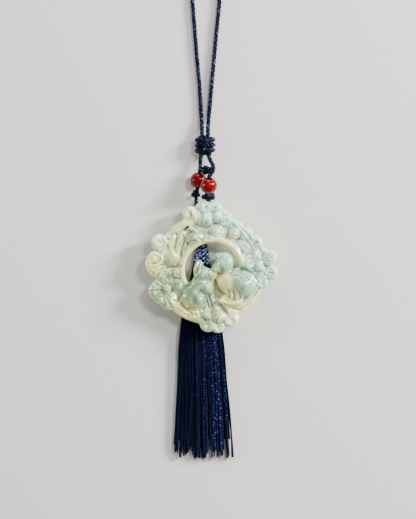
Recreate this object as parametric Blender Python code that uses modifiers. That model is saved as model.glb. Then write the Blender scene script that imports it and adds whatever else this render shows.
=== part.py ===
"""A carved jade pendant lying on its back, with its cord loop, knots, beads and tassel.

Lengths are in metres, +Z is up and +Y runs towards the cord. The origin is on the table, under the
middle of the ornament. The carving is laid out on a plaque 50 mm wide and scales with its width.
"""

import math

import bmesh
import bpy
from mathutils import Matrix, Vector

MM = 0.001
CLEARANCE = 0.3 * MM

# The jade plaque. DESIGN is one millimetre of the 50 mm design.
PLAQUE_WIDTH = 50.0 * MM
DESIGN = PLAQUE_WIDTH / 50.0
PLAQUE_Y = 11.65 * MM
DISC_CENTRE = (-0.7, -0.5)
DISC_RADIUS = 21.0
GROUND_HEIGHT = 3.4
EDGE_HEIGHT = 2.2
RIM_RADIUS = 2.0
GATE_CENTRE = (0.2, -1.1)
GATE_RADIUS = 10.2
GATE_BAND = 1.3
GATE_STEPS = 44
SILL_LEFT = (-8.9, -6.0)
SILL_RIGHT = (10.3, 0.1)
FORM_FLATNESS = 0.62
VOXEL = 0.45
TRIANGLES_KEPT = 0.085

# The soft parts.
CORD = 1.9 * MM
HANGER = 1.4 * MM
TASSEL_CORD = 0.8 * MM
TASSEL_THICK = 4.0 * MM
BACK_HEIGHT = TASSEL_THICK + CLEARANCE
TASSEL_END_Y = -60.4 * MM

# Petals of the corner flowers: place, half width, half length, turn in degrees, height of the top.
TOP_FLOWER = (
    (-3.8, 22.1, 2.4, 2.4, 0, 4.7),
    (-2.1, 21.5, 3.2, 3.2, 0, 5.2),
    (1.0, 21.4, 3.2, 3.2, 0, 5.0),
    (4.4, 18.2, 3.4, 3.4, 0, 4.9),
    (-8.3, 20.2, 2.8, 2.8, 0, 4.8),
    (-1.9, 18.2, 2.7, 2.8, 0, 5.9),
    (2.1, 18.8, 2.2, 2.3, 0, 5.9),
    (5.2, 17.4, 2.3, 2.3, 0, 5.5),
    (-5.4, 18.6, 2.0, 2.6, 20, 5.0),
)
PLAQUE_TOP_Y = PLAQUE_Y + max(v + length for _, v, _, length, _, _ in TOP_FLOWER) * DESIGN
RIGHT_FLOWER = (
    (9.2, 14.7, 2.8, 2.9, 0, 4.8),
    (12.4, 12.0, 2.9, 2.9, 0, 4.9),
    (16.0, 8.7, 2.8, 2.8, 0, 4.9),
    (19.1, 4.9, 2.5, 2.6, 0, 4.8),
    (21.6, 3.6, 3.0, 3.1, 0, 5.2),
    (22.1, -2.2, 2.8, 2.8, 0, 5.2),
    (18.5, -5.4, 2.7, 2.7, 0, 5.0),
    (14.4, 1.6, 2.8, 3.2, 0, 5.2),
    (17.6, 0.4, 1.5, 1.5, 0, 5.8),
    (2.0, 13.3, 2.6, 2.6, 0, 5.0),
    (8.6, 12.8, 2.3, 2.3, 0, 5.3),
    (12.2, 7.6, 3.2, 1.9, -40, 4.5),
    (17.0, 4.4, 1.8, 2.4, -20, 5.2),
)
BOTTOM_FLOWER = (
    (7.0, -19.1, 3.4, 3.4, 0, 5.0),
    (2.2, -22.0, 2.7, 2.7, 0, 4.9),
    (-1.4, -21.2, 3.2, 3.2, 0, 5.0),
    (2.4, -18.6, 2.2, 2.4, -30, 5.5),
    (-2.0, -18.0, 1.6, 1.6, 0, 5.6),
    (-6.2, -16.9, 2.9, 1.7, 15, 4.5),
)
LEFT_FLOWERS = (
    (-20.8, 1.3, 4.1, 5.0, 0, 5.0),
    (-19.4, 9.2, 3.3, 3.3, 0, 5.0),
    (-17.4, 9.0, 2.8, 2.8, 0, 4.6),
    (-14.8, 3.4, 3.0, 3.1, 0, 5.5),
    (-16.1, -12.8, 3.3, 3.3, 0, 5.0),
    (-20.0, -8.7, 3.8, 3.8, 0, 4.9),
    (-18.9, -10.9, 3.0, 3.0, 0, 4.8),
    (-17.0, -3.2, 3.0, 3.0, 0, 5.2),
    (-12.8, -2.2, 2.3, 2.4, 0, 5.3),
    (-13.0, -6.4, 2.4, 2.2, 0, 5.2),
    (-16.8, -8.0, 1.6, 1.6, 0, 5.8),
)
LEAVES = (
    (-14.6, 9.4, 1.2, 3.6, -25, 4.5),
    (-12.2, 10.4, 1.2, 3.8, -35, 4.7),
    (-6.0, 10.9, 3.2, 2.4, 25, 5.0),
    (-6.9, 14.0, 0.8, 2.6, 62, 4.8),
)

# The animals: place, three half sizes, turn in degrees, height of the form's middle.
LEFT_ANIMAL = (
    (-6.5, -11.2, 5.0, 4.9, 3.9, 0, 2.6),
    (-5.1, -11.6, 2.6, 2.6, 2.6, 0, 4.3),
    (-4.3, -6.9, 3.9, 3.8, 3.3, 0, 2.8),
    (-1.7, -7.6, 2.2, 2.9, 3.0, 0, 3.0),
    (-3.4, -2.6, 3.1, 3.1, 3.2, 0, 2.8),
    (-1.2, -2.3, 2.1, 2.0, 2.4, 0, 2.8),
    (-5.0, -1.0, 1.9, 3.9, 2.1, -8, 2.8),
)
RIGHT_ANIMAL = (
    (11.7, -6.2, 5.3, 5.2, 4.0, 0, 2.6),
    (6.3, -5.2, 4.2, 4.6, 3.3, 0, 2.8),
    (4.8, 1.8, 3.4, 4.0, 3.3, 0, 2.8),
    (2.1, -0.4, 2.2, 2.3, 2.6, 0, 2.8),
    (1.9, 4.9, 0.9, 0.8, 1.2, 0, 3.0),
    (7.2, -9.8, 1.2, 2.0, 2.2, 12, 2.6),
    (9.2, -10.6, 1.0, 1.6, 2.2, 12, 2.6),
    (4.0, -12.8, 2.5, 1.0, 2.2, -15, 2.9),
    (8.6, -13.4, 2.7, 1.0, 2.2, 8, 2.9),
    (1.1, -2.0, 1.6, 2.6, 2.0, 0, 2.6),
)

# How low and high the cutters reach, the deep hollow between the animals, and the deep slot in the
# upper left leaves.
CUT_BELOW = -5.0
CUT_ABOVE = 12.0
HOLLOW_FLOOR = 1.6
HOLLOW_OUTLINE = (
    (0.7, -4.2),
    (1.0, -8.4),
    (0.5, -12.0),
    (2.7, -12.0),
    (3.6, -10.9),
    (5.3, -10.1),
    (2.5, -7.4),
    (1.6, -4.3),
)
SLOT_PLACE = (-9.6, 14.5)
SLOT_HALF_LENGTH = 1.5
SLOT_HALF_WIDTH = 0.5
SLOT_TURN = 35

# The beads and knots lie above the plaque's highest petal.
BEAD_RADIUS = 3.13 * MM
BEAD_BORE = CORD + 2 * CLEARANCE
LEFT_BEAD = Vector((-5.0 * MM, PLAQUE_TOP_Y + 7.85 * MM, BEAD_RADIUS + 0.1 * MM))
RIGHT_BEAD = LEFT_BEAD + Vector((3.9 * MM, -2.1 * MM, 0.0))
KNOT_HALF_LENGTH = 1.35 * MM
LEFT_KNOT = Vector((-5.9 * MM, 0.0, 2.6 * MM))
LEFT_KNOT.y = LEFT_BEAD.y - BEAD_RADIUS - 2 * CLEARANCE - KNOT_HALF_LENGTH
RIGHT_KNOT = Vector((-1.0 * MM, PLAQUE_TOP_Y + 1.75 * MM, 4.2 * MM))
WRAP_CENTRE = Vector((-2.5 * MM, PLAQUE_TOP_Y + 21.05 * MM, 2.95 * MM))
WRAP_TURNS = 3
WRAP_PITCH = 1.1 * CORD
LEFT_BULGE = ((0.35, 0.0, 0.0), (0.7, 0.1, 0.0))
RIGHT_BULGE = ((0.25, 0.6, 0.0), (0.5, 1.6, 0.5), (0.7, 1.7, 0.9), (0.87, 0.8, 0.6))
CROSSING_SHARE = 0.94

# The beads touch but for the clearance, so the right one is this much higher.
BEAD_SPREAD = (RIGHT_BEAD - LEFT_BEAD).to_2d().length
RIGHT_BEAD.z = LEFT_BEAD.z + math.sqrt((2 * BEAD_RADIUS + CLEARANCE) ** 2 - BEAD_SPREAD**2)

# The tunnel in the back, which the hanger cord passes through.
TUNNEL_PLACE = 19.0
TUNNEL_BORE = HANGER + 2 * CLEARANCE
TUNNEL_SPAN = RIGHT_KNOT.x - LEFT_KNOT.x
TUNNEL_Y = PLAQUE_Y + TUNNEL_PLACE * DESIGN
HANGER_HEIGHT = 2.0 * MM
LOOP_HEIGHT = BACK_HEIGHT - CLEARANCE - TASSEL_CORD / 2

# Sections of the tassel: distance along Y, middle in X, half width, thickness.
CAP_SECTIONS = (
    (20.2, -2.5, 0.9, 0.5),
    (19.2, -3.0, 1.8, 0.8),
    (17.6, -3.5, 2.5, 0.95),
    (15.4, -3.7, 3.0, 1.0),
    (13.2, -3.8, 3.3, 1.0),
)
SKIRT_SECTIONS = (
    (0.0, -3.7, 3.4, 1.0),
    (9.7, -3.9, 5.3, 1.0),
    (20.9, -4.1, 7.6, 1.0),
    (32.1, -3.9, 9.0, 0.9),
    (50.8, -3.4, 10.2, 0.8),
    (65.7, -3.2, 11.1, 0.7),
)
SKIRT_TOP_Y = CAP_SECTIONS[-1][0] * MM - CLEARANCE
TIP_HALF_WIDTH = 11.5 * MM
TIP_THICK = 0.6

# The free loop of cord, from the wrapped knot round its bight and back. Its distances along Y are
# from the wrapped knot's centre.
NECK_ROUTE = (
    (-3.65, 3.55, 2.95),
    (-3.65, 5.5, 2.6),
    (-3.75, 8.6, 1.6),
    (-4.0, 12.9, 1.0),
    (-4.6, 22.6, 0.97),
    (-5.5, 32.6, 0.97),
    (-6.3, 42.6, 0.97),
    (-7.1, 52.6, 0.97),
    (-7.3, 57.1, 0.97),
    (-6.0, 60.9, 0.97),
    (-2.2, 62.8, 0.97),
    (1.6, 60.9, 0.97),
    (2.95, 57.1, 0.97),
    (2.8, 52.6, 0.97),
    (1.8, 42.6, 0.97),
    (0.9, 32.6, 0.97),
    (0.0, 22.6, 0.97),
    (-0.85, 12.9, 1.0),
    (-1.3, 8.6, 1.6),
    (-1.4, 5.5, 2.6),
    (-1.4, 3.55, 2.95),
)


def clear_scene():
    for thing in list(bpy.data.objects):
        bpy.data.objects.remove(thing, do_unlink=True)


def collection(name):
    group = bpy.data.collections.new(name)
    bpy.context.scene.collection.children.link(group)
    return group


def material(name, colour, roughness):
    finish = bpy.data.materials.new(name)
    finish.use_nodes = True
    shader = finish.node_tree.nodes["Principled BSDF"]
    shader.inputs["Base Color"].default_value = (*colour, 1.0)
    shader.inputs["Roughness"].default_value = roughness
    shader.inputs["Metallic"].default_value = 0.0
    return finish


def add_object(name, data, finish, group):
    thing = bpy.data.objects.new(name, data)
    if finish:
        data.materials.append(finish)
    group.objects.link(thing)
    return thing


def mesh_object(name, bm, finish, group):
    mesh = bpy.data.meshes.new(name)
    bm.to_mesh(mesh)
    bm.free()
    mesh.shade_smooth()
    return add_object(name, mesh, finish, group)


def helper(thing):
    thing.hide_render = True
    thing.display_type = "WIRE"
    return thing


def on_plaque(u, v, height=0.0):
    """A point of the carving's design, in the ornament's frame."""
    return Vector((u * DESIGN, PLAQUE_Y + v * DESIGN, BACK_HEIGHT + height * DESIGN))


def add_ellipsoid(bm, centre, radii, turn=0.0, flatness=1.0, around=24, rings=12):
    """An ellipsoid turned about +Z. A flatness under 1 gives it a flatter top and steeper sides."""
    ball = bmesh.ops.create_uvsphere(bm, u_segments=around, v_segments=rings, radius=1.0)
    for vert in ball["verts"]:
        vert.co.z = math.copysign(abs(vert.co.z) ** flatness, vert.co.z)
    place = (
        Matrix.Translation(centre)
        @ Matrix.Rotation(math.radians(turn), 4, "Z")
        @ Matrix.Diagonal((*radii, 1.0))
    )
    bmesh.ops.transform(bm, matrix=place, verts=ball["verts"])


def add_petal(bm, u, v, half_width, half_length, turn, top):
    """A domed petal whose widest line is at the height of the plaque's edge."""
    rise = (top - EDGE_HEIGHT) * DESIGN
    radii = (half_width * DESIGN, half_length * DESIGN, rise)
    add_ellipsoid(bm, on_plaque(u, v, EDGE_HEIGHT), radii, turn, FORM_FLATNESS)


def add_ring(bm, centre, radius, thickness, start=0.0, sweep=2 * math.pi, around=72, section=12):
    """A round section carried round the centre, lying flat: a torus, or an arc with flat ends."""
    closed = math.isclose(sweep, 2 * math.pi)
    rings = []
    for i in range(around):
        angle = start + sweep * i / (around if closed else around - 1)
        outward = Vector((math.cos(angle), math.sin(angle), 0.0))
        ring = []
        for k in range(section):
            tilt = 2 * math.pi * k / section
            reach = radius + thickness * math.cos(tilt)
            point = centre + outward * reach + Vector((0.0, 0.0, thickness * math.sin(tilt)))
            ring.append(bm.verts.new(point))
        rings.append(ring)
    for ring, following in zip(rings, rings[1:] + rings[:1] if closed else rings[1:]):
        for k in range(section):
            n = (k + 1) % section
            bm.faces.new((ring[k], following[k], following[n], ring[n]))
    if not closed:
        bm.faces.new(rings[0])
        bm.faces.new(reversed(rings[-1]))


def flowing(points, step):
    """Points every step or so along a smooth curve through the given ones."""
    ends = [2 * points[0] - points[1], *points, 2 * points[-1] - points[-2]]
    found = []
    for before, start, end, after in zip(ends, ends[1:], ends[2:], ends[3:]):
        pieces = max(1, round((end - start).length / step))
        for i in range(pieces):
            t = i / pieces
            found.append(
                0.5
                * (
                    2 * start
                    + (end - before) * t
                    + (2 * before - 5 * start + 4 * end - after) * t**2
                    + (3 * start - before - 3 * end + after) * t**3
                )
            )
    found.append(points[-1].copy())
    return found


def tube(name, points, diameter, finish, group, closed=False):
    curve = bpy.data.curves.new(name, "CURVE")
    curve.dimensions = "3D"
    curve.bevel_depth = diameter / 2
    curve.bevel_resolution = 2
    curve.use_fill_caps = not closed
    curve.render_resolution_u = 0
    spline = curve.splines.new("POLY")
    spline.points.add(len(points) - 1)
    for place, point in zip(spline.points, points):
        place.co = (*point, 1.0)
    spline.use_cyclic_u = closed
    return add_object(name, curve, finish, group)


def modifier(thing, kind, name, **settings):
    added = thing.modifiers.new(name, kind)
    for key, value in settings.items():
        setattr(added, key, value)
    return added


def prism(name, outline, low, high, group):
    """A flat outline of points raised between two heights, used as a cutter."""
    bm = bmesh.new()
    base = [bm.verts.new((x, y, low)) for x, y in outline]
    face = bm.faces.new(base)
    raised = bmesh.ops.extrude_face_region(bm, geom=[face])
    top = [item for item in raised["geom"] if isinstance(item, bmesh.types.BMVert)]
    bmesh.ops.translate(bm, verts=top, vec=(0.0, 0.0, high - low))
    bmesh.ops.recalc_face_normals(bm, faces=bm.faces)
    return helper(mesh_object(name, bm, None, group))


def gate_angles():
    """Where the gate's arc starts, at the right end of its sloping sill, and how far it sweeps."""
    first, last = (
        math.atan2(corner[1] - GATE_CENTRE[1], corner[0] - GATE_CENTRE[0])
        for corner in (SILL_RIGHT, SILL_LEFT)
    )
    return first, (last - first) % (2 * math.pi)


def arc_outline(centre, reach, start, sweep, steps):
    """Points along an arc whose reach is a circle's radius or an ellipse's two half sizes."""
    outline = []
    for i in range(steps + 1):
        angle = start + sweep * i / steps
        outline.append((centre.x + reach[0] * math.cos(angle), centre.y + reach[1] * math.sin(angle)))
    return outline


def build_animals(group):
    bm = bmesh.new()
    for u, v, a, b, c, turn, height in (*LEFT_ANIMAL, *RIGHT_ANIMAL):
        add_ellipsoid(bm, on_plaque(u, v, height), (a * DESIGN, b * DESIGN, c * DESIGN), turn)
    animals = helper(mesh_object("animals", bm, None, group))
    modifier(animals, "REMESH", "fuse", mode="VOXEL", voxel_size=VOXEL * DESIGN)
    modifier(animals, "DECIMATE", "lighten", ratio=TRIANGLES_KEPT)
    return animals


def build_plaque(finish, group, cutters):
    bm = bmesh.new()
    ground_low = on_plaque(*DISC_CENTRE, -1.0)
    ground_depth = (GROUND_HEIGHT + 1.0) * DESIGN
    bmesh.ops.create_cone(
        bm,
        cap_ends=True,
        segments=72,
        radius1=(DISC_RADIUS - RIM_RADIUS) * DESIGN,
        radius2=(DISC_RADIUS - RIM_RADIUS) * DESIGN,
        depth=ground_depth,
        matrix=Matrix.Translation(ground_low + Vector((0.0, 0.0, ground_depth / 2))),
    )
    rim_centre = on_plaque(*DISC_CENTRE, EDGE_HEIGHT)
    add_ring(bm, rim_centre, (DISC_RADIUS - RIM_RADIUS) * DESIGN, RIM_RADIUS * DESIGN)
    band_centre = on_plaque(*GATE_CENTRE, GROUND_HEIGHT)
    band_reach = (GATE_RADIUS + GATE_BAND) * DESIGN
    add_ring(bm, band_centre, band_reach, GATE_BAND * DESIGN, *gate_angles(), around=48)
    for flower in (TOP_FLOWER, RIGHT_FLOWER, BOTTOM_FLOWER, LEFT_FLOWERS, LEAVES):
        for petal in flower:
            add_petal(bm, *petal)
    plaque = mesh_object("jade_plaque", bm, finish, group)
    modifier(plaque, "REMESH", "fuse", mode="VOXEL", voxel_size=VOXEL * DESIGN)
    modifier(plaque, "DECIMATE", "lighten", ratio=TRIANGLES_KEPT)

    below = on_plaque(0.0, 0.0, CUT_BELOW).z
    above = on_plaque(0.0, 0.0, CUT_ABOVE).z
    reach = (GATE_RADIUS * DESIGN, GATE_RADIUS * DESIGN)
    opening = arc_outline(on_plaque(*GATE_CENTRE), reach, *gate_angles(), GATE_STEPS)
    gate = prism("gate_cutter", opening, below, above, cutters)
    modifier(plaque, "BOOLEAN", "gate", operation="DIFFERENCE", object=gate)
    modifier(plaque, "BOOLEAN", "animals", operation="UNION", object=build_animals(cutters))

    signs = ((-1, -1), (1, -1), (1, 1), (-1, 1))
    slab = [(x * PLAQUE_WIDTH, PLAQUE_Y + y * PLAQUE_WIDTH) for x, y in signs]
    back = prism("back_cutter", slab, BACK_HEIGHT - PLAQUE_WIDTH, BACK_HEIGHT, cutters)
    modifier(plaque, "BOOLEAN", "flat back", operation="DIFFERENCE", object=back)

    floor = on_plaque(0.0, 0.0, HOLLOW_FLOOR).z
    places = [on_plaque(u, v) for u, v in HOLLOW_OUTLINE]
    hollow = prism("hollow_cutter", [(p.x, p.y) for p in places], floor, above, cutters)
    modifier(plaque, "BOOLEAN", "hollow", operation="DIFFERENCE", object=hollow)

    halves = (SLOT_HALF_LENGTH * DESIGN, SLOT_HALF_WIDTH * DESIGN)
    oval = arc_outline(Vector(), halves, 0.0, 2 * math.pi, 14)[:-1]
    slot = prism("slot_cutter", oval, floor, above, cutters)
    slot.rotation_euler = (0.0, 0.0, math.radians(SLOT_TURN))
    slot.location = (*on_plaque(*SLOT_PLACE).xy, 0.0)
    modifier(plaque, "BOOLEAN", "slot", operation="DIFFERENCE", object=slot)

    bm = bmesh.new()
    mouth_middle = Vector(((LEFT_KNOT.x + RIGHT_KNOT.x) / 2, TUNNEL_Y, BACK_HEIGHT))
    add_ring(bm, Vector(), TUNNEL_SPAN / 2, TUNNEL_BORE / 2, around=24, section=10)
    upright = Matrix.Translation(mouth_middle) @ Matrix.Rotation(math.pi / 2, 4, "X")
    bmesh.ops.transform(bm, matrix=upright, verts=bm.verts)
    tunnel = helper(mesh_object("tunnel_cutter", bm, None, cutters))
    modifier(plaque, "BOOLEAN", "tunnel", operation="DIFFERENCE", object=tunnel)
    return plaque


def build_bead(name, centre, direction, finish, group):
    """A bored ball: its section turned round the bore's axis."""
    bore = BEAD_BORE / 2
    edge = math.asin(bore / BEAD_RADIUS)
    steps = 9
    bm = bmesh.new()
    section = []
    for i in range(steps + 1):
        angle = edge + (math.pi - 2 * edge) * i / steps
        place = (BEAD_RADIUS * math.sin(angle), 0.0, BEAD_RADIUS * math.cos(angle))
        section.append(bm.verts.new(place))
    for here, following in zip(section, section[1:] + section[:1]):
        bm.edges.new((here, following))
    bead = mesh_object(name, bm, finish, group)
    modifier(
        bead,
        "SCREW",
        "turn",
        steps=20,
        render_steps=20,
        use_merge_vertices=True,
        merge_threshold=0.00001,
    )
    bead.rotation_mode = "QUATERNION"
    bead.rotation_quaternion = direction.to_track_quat("Z", "Y")
    bead.location = centre
    return bead


def build_wrapped_knot(finish, group):
    """Three turns of cord round two strands, as one turned form flattened to their oval."""
    half_width = CORD + CLEARANCE / 2 + CORD
    half_thick = WRAP_CENTRE.z
    length = WRAP_PITCH * WRAP_TURNS
    steps = 4
    bm = bmesh.new()
    section = [bm.verts.new((0.0, 0.0, length / 2 - 0.2 * CORD))]
    for turn in range(WRAP_TURNS):
        middle = length / 2 - WRAP_PITCH * (turn + 0.5)
        for i in range(steps + 1):
            angle = math.radians(75 - 150 * i / steps)
            reach = half_width - CORD / 2 + CORD / 2 * math.cos(angle)
            section.append(bm.verts.new((reach, 0.0, middle + CORD / 2 * math.sin(angle))))
    section.append(bm.verts.new((0.0, 0.0, -length / 2 + 0.2 * CORD)))
    for here, following in zip(section, section[1:]):
        bm.edges.new((here, following))
    knot = mesh_object("wrapped_knot", bm, finish, group)
    modifier(
        knot,
        "SCREW",
        "turn",
        steps=20,
        render_steps=20,
        use_merge_vertices=True,
        merge_threshold=0.00001,
    )
    knot.rotation_euler = (math.pi / 2, 0.0, 0.0)
    knot.scale = (1.0, half_thick / half_width, 1.0)
    knot.location = WRAP_CENTRE
    return knot


def build_small_knot(name, centre, radii, finish, group, turn=Matrix()):
    bm = bmesh.new()
    add_ellipsoid(bm, Vector(), radii, around=12, rings=8)
    bmesh.ops.transform(bm, matrix=Matrix.Translation(centre) @ turn, verts=bm.verts)
    return mesh_object(name, bm, finish, group)


def loft(name, sections, finish, group):
    """A soft flattened bundle, lying with its flat underside on the table."""
    around = 20
    bm = bmesh.new()
    rings = []
    for y, middle, half_width, thick in sections:
        ring = []
        for k in range(around):
            angle = 2 * math.pi * k / around
            across = math.copysign(abs(math.cos(angle)) ** 0.7, math.cos(angle))
            rise = math.copysign(abs(math.sin(angle)) ** 0.7, math.sin(angle))
            ring.append(bm.verts.new((middle + half_width * across, y, thick / 2 * (1 + rise))))
        rings.append(ring)
    for ring, following in zip(rings, rings[1:]):
        for k in range(around):
            n = (k + 1) % around
            bm.faces.new((ring[k], ring[n], following[n], following[k]))
    bm.faces.new(rings[0])
    bm.faces.new(rings[-1])
    bmesh.ops.recalc_face_normals(bm, faces=bm.faces)
    return mesh_object(name, bm, finish, group)


def strand_route(top, bulge, bead, direction):
    """From the wrapped knot, straight through the bead to the knot close below it.

    The bulge lists how far the strand bows on its way: share of the way, sideways, upwards.
    """
    stretch = direction * (BEAD_RADIUS + CLEARANCE)
    through = [bead - stretch, bead - stretch / 2, bead, bead + stretch / 2, bead + stretch]
    shoulders = []
    for share, sideways, upwards in bulge:
        shoulders.append(top.lerp(through[0], share) + Vector((sideways, 0.0, upwards)) * MM)
    return flowing([top, *shoulders, through[0]], CORD)[:-1] + through


clear_scene()
pendant = collection("Jade pendant")
cutters = collection("Cutters")

jade = material("Jade", (0.62, 0.70, 0.52), 0.2)
red_glass = material("Red glass", (0.55, 0.01, 0.02), 0.12)
blue_cord = material("Dark blue cord", (0.01, 0.015, 0.06), 0.6)
blue_silk = material("Dark blue silk", (0.01, 0.016, 0.075), 0.45)

build_plaque(jade, pendant, cutters)
build_wrapped_knot(blue_cord, pendant)
neck_points = [Vector((x * MM, WRAP_CENTRE.y + y * MM, z * MM)) for x, y, z in NECK_ROUTE]
tube("neck_cord", flowing(neck_points, 2.2 * CORD), CORD, blue_cord, pendant)

left_direction = Vector((-0.13, -1.0, 0.0)).normalized()
right_direction = Vector((-0.03, -1.0, -0.33)).normalized()
build_bead("left_bead", LEFT_BEAD, left_direction, red_glass, pendant)
build_bead("right_bead", RIGHT_BEAD, right_direction, red_glass, pendant)

# The strands leave the wrapped knot side by side and spread to their beads.
wrap_foot = WRAP_CENTRE.y - WRAP_PITCH * WRAP_TURNS / 2 - CLEARANCE
left_top = Vector((-4.0 * MM, wrap_foot, WRAP_CENTRE.z))
right_top = Vector((-1.4 * MM, wrap_foot, WRAP_CENTRE.z))
left_route = strand_route(left_top, LEFT_BULGE, LEFT_BEAD, left_direction)
right_route = strand_route(right_top, RIGHT_BULGE, RIGHT_BEAD, right_direction)
tube("left_strand", left_route, CORD, blue_cord, pendant)
tube("right_strand", right_route, CORD, blue_cord, pendant)

left_knot_radii = (1.5 * MM, KNOT_HALF_LENGTH, 1.8 * MM)
right_knot_radii = (2.5 * MM, KNOT_HALF_LENGTH, 1.7 * MM)
build_small_knot("left_knot", LEFT_KNOT, left_knot_radii, blue_cord, pendant)
build_small_knot("right_knot", RIGHT_KNOT, right_knot_radii, blue_cord, pendant)

# The crossing knot fills the room between the strands close above the beads.
left_side = left_top.lerp(left_route[-5], CROSSING_SHARE)
right_side = min(right_route, key=lambda point: abs(point.y - left_side.y))
across = right_side - left_side
crossing_radii = (across.length / 2 - CORD / 2 - 2.5 * CLEARANCE, 1.5 * MM, 1.3 * MM)
lean = Vector((1.0, 0.0, 0.0)).rotation_difference(across).to_matrix().to_4x4()
crossing = (left_side + right_side) / 2
build_small_knot("crossing_knot", crossing, crossing_radii, blue_cord, pendant, lean)

# The hanger cord dips under the plaque, goes up and over through the tunnel, and comes back.
left_mouth = Vector((LEFT_KNOT.x, TUNNEL_Y, BACK_HEIGHT))
right_mouth = Vector((RIGHT_KNOT.x, TUNNEL_Y, BACK_HEIGHT))
arch = []
for i in range(9):
    angle = math.pi * (1 - i / 8)
    reach = TUNNEL_SPAN / 2
    middle = (left_mouth + right_mouth) / 2
    arch.append(middle + Vector((reach * math.cos(angle), 0.0, reach * math.sin(angle))))
dip = BACK_HEIGHT - HANGER_HEIGHT
left_way = [
    Vector((LEFT_KNOT.x, LEFT_KNOT.y - left_knot_radii[1] - CLEARANCE, LEFT_KNOT.z - 0.2 * MM)),
    Vector((LEFT_KNOT.x, TUNNEL_Y + 2.4 * dip, HANGER_HEIGHT)),
    Vector((LEFT_KNOT.x, TUNNEL_Y + 1.0 * dip, HANGER_HEIGHT)),
    Vector((LEFT_KNOT.x, TUNNEL_Y + 0.25 * dip, HANGER_HEIGHT + 0.3 * dip)),
]
right_way = [
    Vector((RIGHT_KNOT.x, TUNNEL_Y + 0.25 * dip, HANGER_HEIGHT + 0.3 * dip)),
    Vector((RIGHT_KNOT.x, TUNNEL_Y + 1.0 * dip, HANGER_HEIGHT)),
    Vector((RIGHT_KNOT.x, TUNNEL_Y + 2.0 * dip, HANGER_HEIGHT)),
    Vector((RIGHT_KNOT.x, RIGHT_KNOT.y - right_knot_radii[1] - CLEARANCE, HANGER_HEIGHT + 0.6 * MM)),
]
hanger_route = flowing([*left_way, arch[0]], HANGER)[:-1] + arch
hanger_route += flowing([arch[-1], *right_way], HANGER)[1:]
tube("hanger_cord", hanger_route, HANGER, blue_cord, pendant)

# The tassel's own loop lies round the hanger cord where that turns up into the tunnel.
cap_top = Vector((CAP_SECTIONS[0][1] * MM, CAP_SECTIONS[0][0] * MM, LOOP_HEIGHT))
loop_far = Vector((RIGHT_KNOT.x, TUNNEL_Y, LOOP_HEIGHT))
loop_radius = HANGER / 2 + CLEARANCE + TASSEL_CORD / 2
axis = (loop_far - cap_top).normalized()
side = Vector((-axis.y, axis.x, 0.0))
loop_near = cap_top + axis * (CLEARANCE + TASSEL_CORD / 2 + loop_radius)
loop_points = []
for middle, start in ((loop_far, 0.0), (loop_near, math.pi)):
    for i in range(7):
        angle = start + math.pi * i / 6
        loop_points.append(middle + loop_radius * (-side * math.cos(angle) + axis * math.sin(angle)))
tube("tassel_loop", loop_points, TASSEL_CORD, blue_cord, pendant, closed=True)

cap = [(y * MM, x * MM, w * MM, share * TASSEL_THICK) for y, x, w, share in CAP_SECTIONS]
loft("tassel_cap", cap, blue_cord, pendant)
skirt = [
    (SKIRT_TOP_Y - y * MM, x * MM, w * MM, share * TASSEL_THICK) for y, x, w, share in SKIRT_SECTIONS
]
tip_middle = SKIRT_SECTIONS[-1][1] * MM
skirt.append((TASSEL_END_Y, tip_middle, TIP_HALF_WIDTH, TIP_THICK * TASSEL_THICK))
loft("tassel_skirt", skirt, blue_silk, pendant)
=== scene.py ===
"""A carved jade pendant lying on its back on a pale table, with its cord, beads, knots and tassel.

Lengths are in metres, +Z is up and +Y runs towards the cord. Each section makes one piece, or one
group of like pieces, over the plain solids of the part.
"""

import math

import bmesh
import bpy
import numpy as np
from mathutils import Matrix, Vector


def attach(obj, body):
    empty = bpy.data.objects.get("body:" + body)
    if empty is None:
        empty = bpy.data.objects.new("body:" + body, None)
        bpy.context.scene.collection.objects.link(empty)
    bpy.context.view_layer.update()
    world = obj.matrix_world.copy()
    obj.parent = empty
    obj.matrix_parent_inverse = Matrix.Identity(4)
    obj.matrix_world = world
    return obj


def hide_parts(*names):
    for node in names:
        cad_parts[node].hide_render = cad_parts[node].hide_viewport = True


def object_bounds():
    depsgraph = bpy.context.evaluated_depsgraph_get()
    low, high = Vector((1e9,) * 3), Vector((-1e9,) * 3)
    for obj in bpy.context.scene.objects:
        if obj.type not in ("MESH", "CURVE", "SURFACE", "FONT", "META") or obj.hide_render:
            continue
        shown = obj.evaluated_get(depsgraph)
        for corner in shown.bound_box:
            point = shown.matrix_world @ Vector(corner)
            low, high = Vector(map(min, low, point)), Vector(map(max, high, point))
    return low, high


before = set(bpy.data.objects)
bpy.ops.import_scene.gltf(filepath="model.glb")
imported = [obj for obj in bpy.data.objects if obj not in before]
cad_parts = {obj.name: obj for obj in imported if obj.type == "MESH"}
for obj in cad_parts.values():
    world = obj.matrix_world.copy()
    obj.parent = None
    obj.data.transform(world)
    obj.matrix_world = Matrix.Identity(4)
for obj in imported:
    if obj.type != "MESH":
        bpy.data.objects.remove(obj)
solid_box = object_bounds()

# The camera looks straight down on the ornament from well above, through a long lens, as the photo
# looks at it from the front. The picture is 416 by 519 pixels and 193.6 mm high at the carving.
MM = 0.001
CAMERA_HEIGHT = 1200 * MM
CARVING_HEIGHT = 7.5 * MM
VIEW_HEIGHT = 193.6 * MM
VIEW_CENTRE = (-1.4 * MM, 14.55 * MM)
SENSOR = 24.0

lens = bpy.data.cameras.new("camera")
lens.sensor_fit = "VERTICAL"
lens.sensor_height = SENSOR
lens.lens = SENSOR * (CAMERA_HEIGHT - CARVING_HEIGHT) / VIEW_HEIGHT
lens.clip_start = 0.01
camera = bpy.data.objects.new("camera", lens)
camera.location = (*VIEW_CENTRE, CAMERA_HEIGHT)
bpy.context.scene.collection.objects.link(camera)
bpy.context.scene.camera = camera

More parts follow.
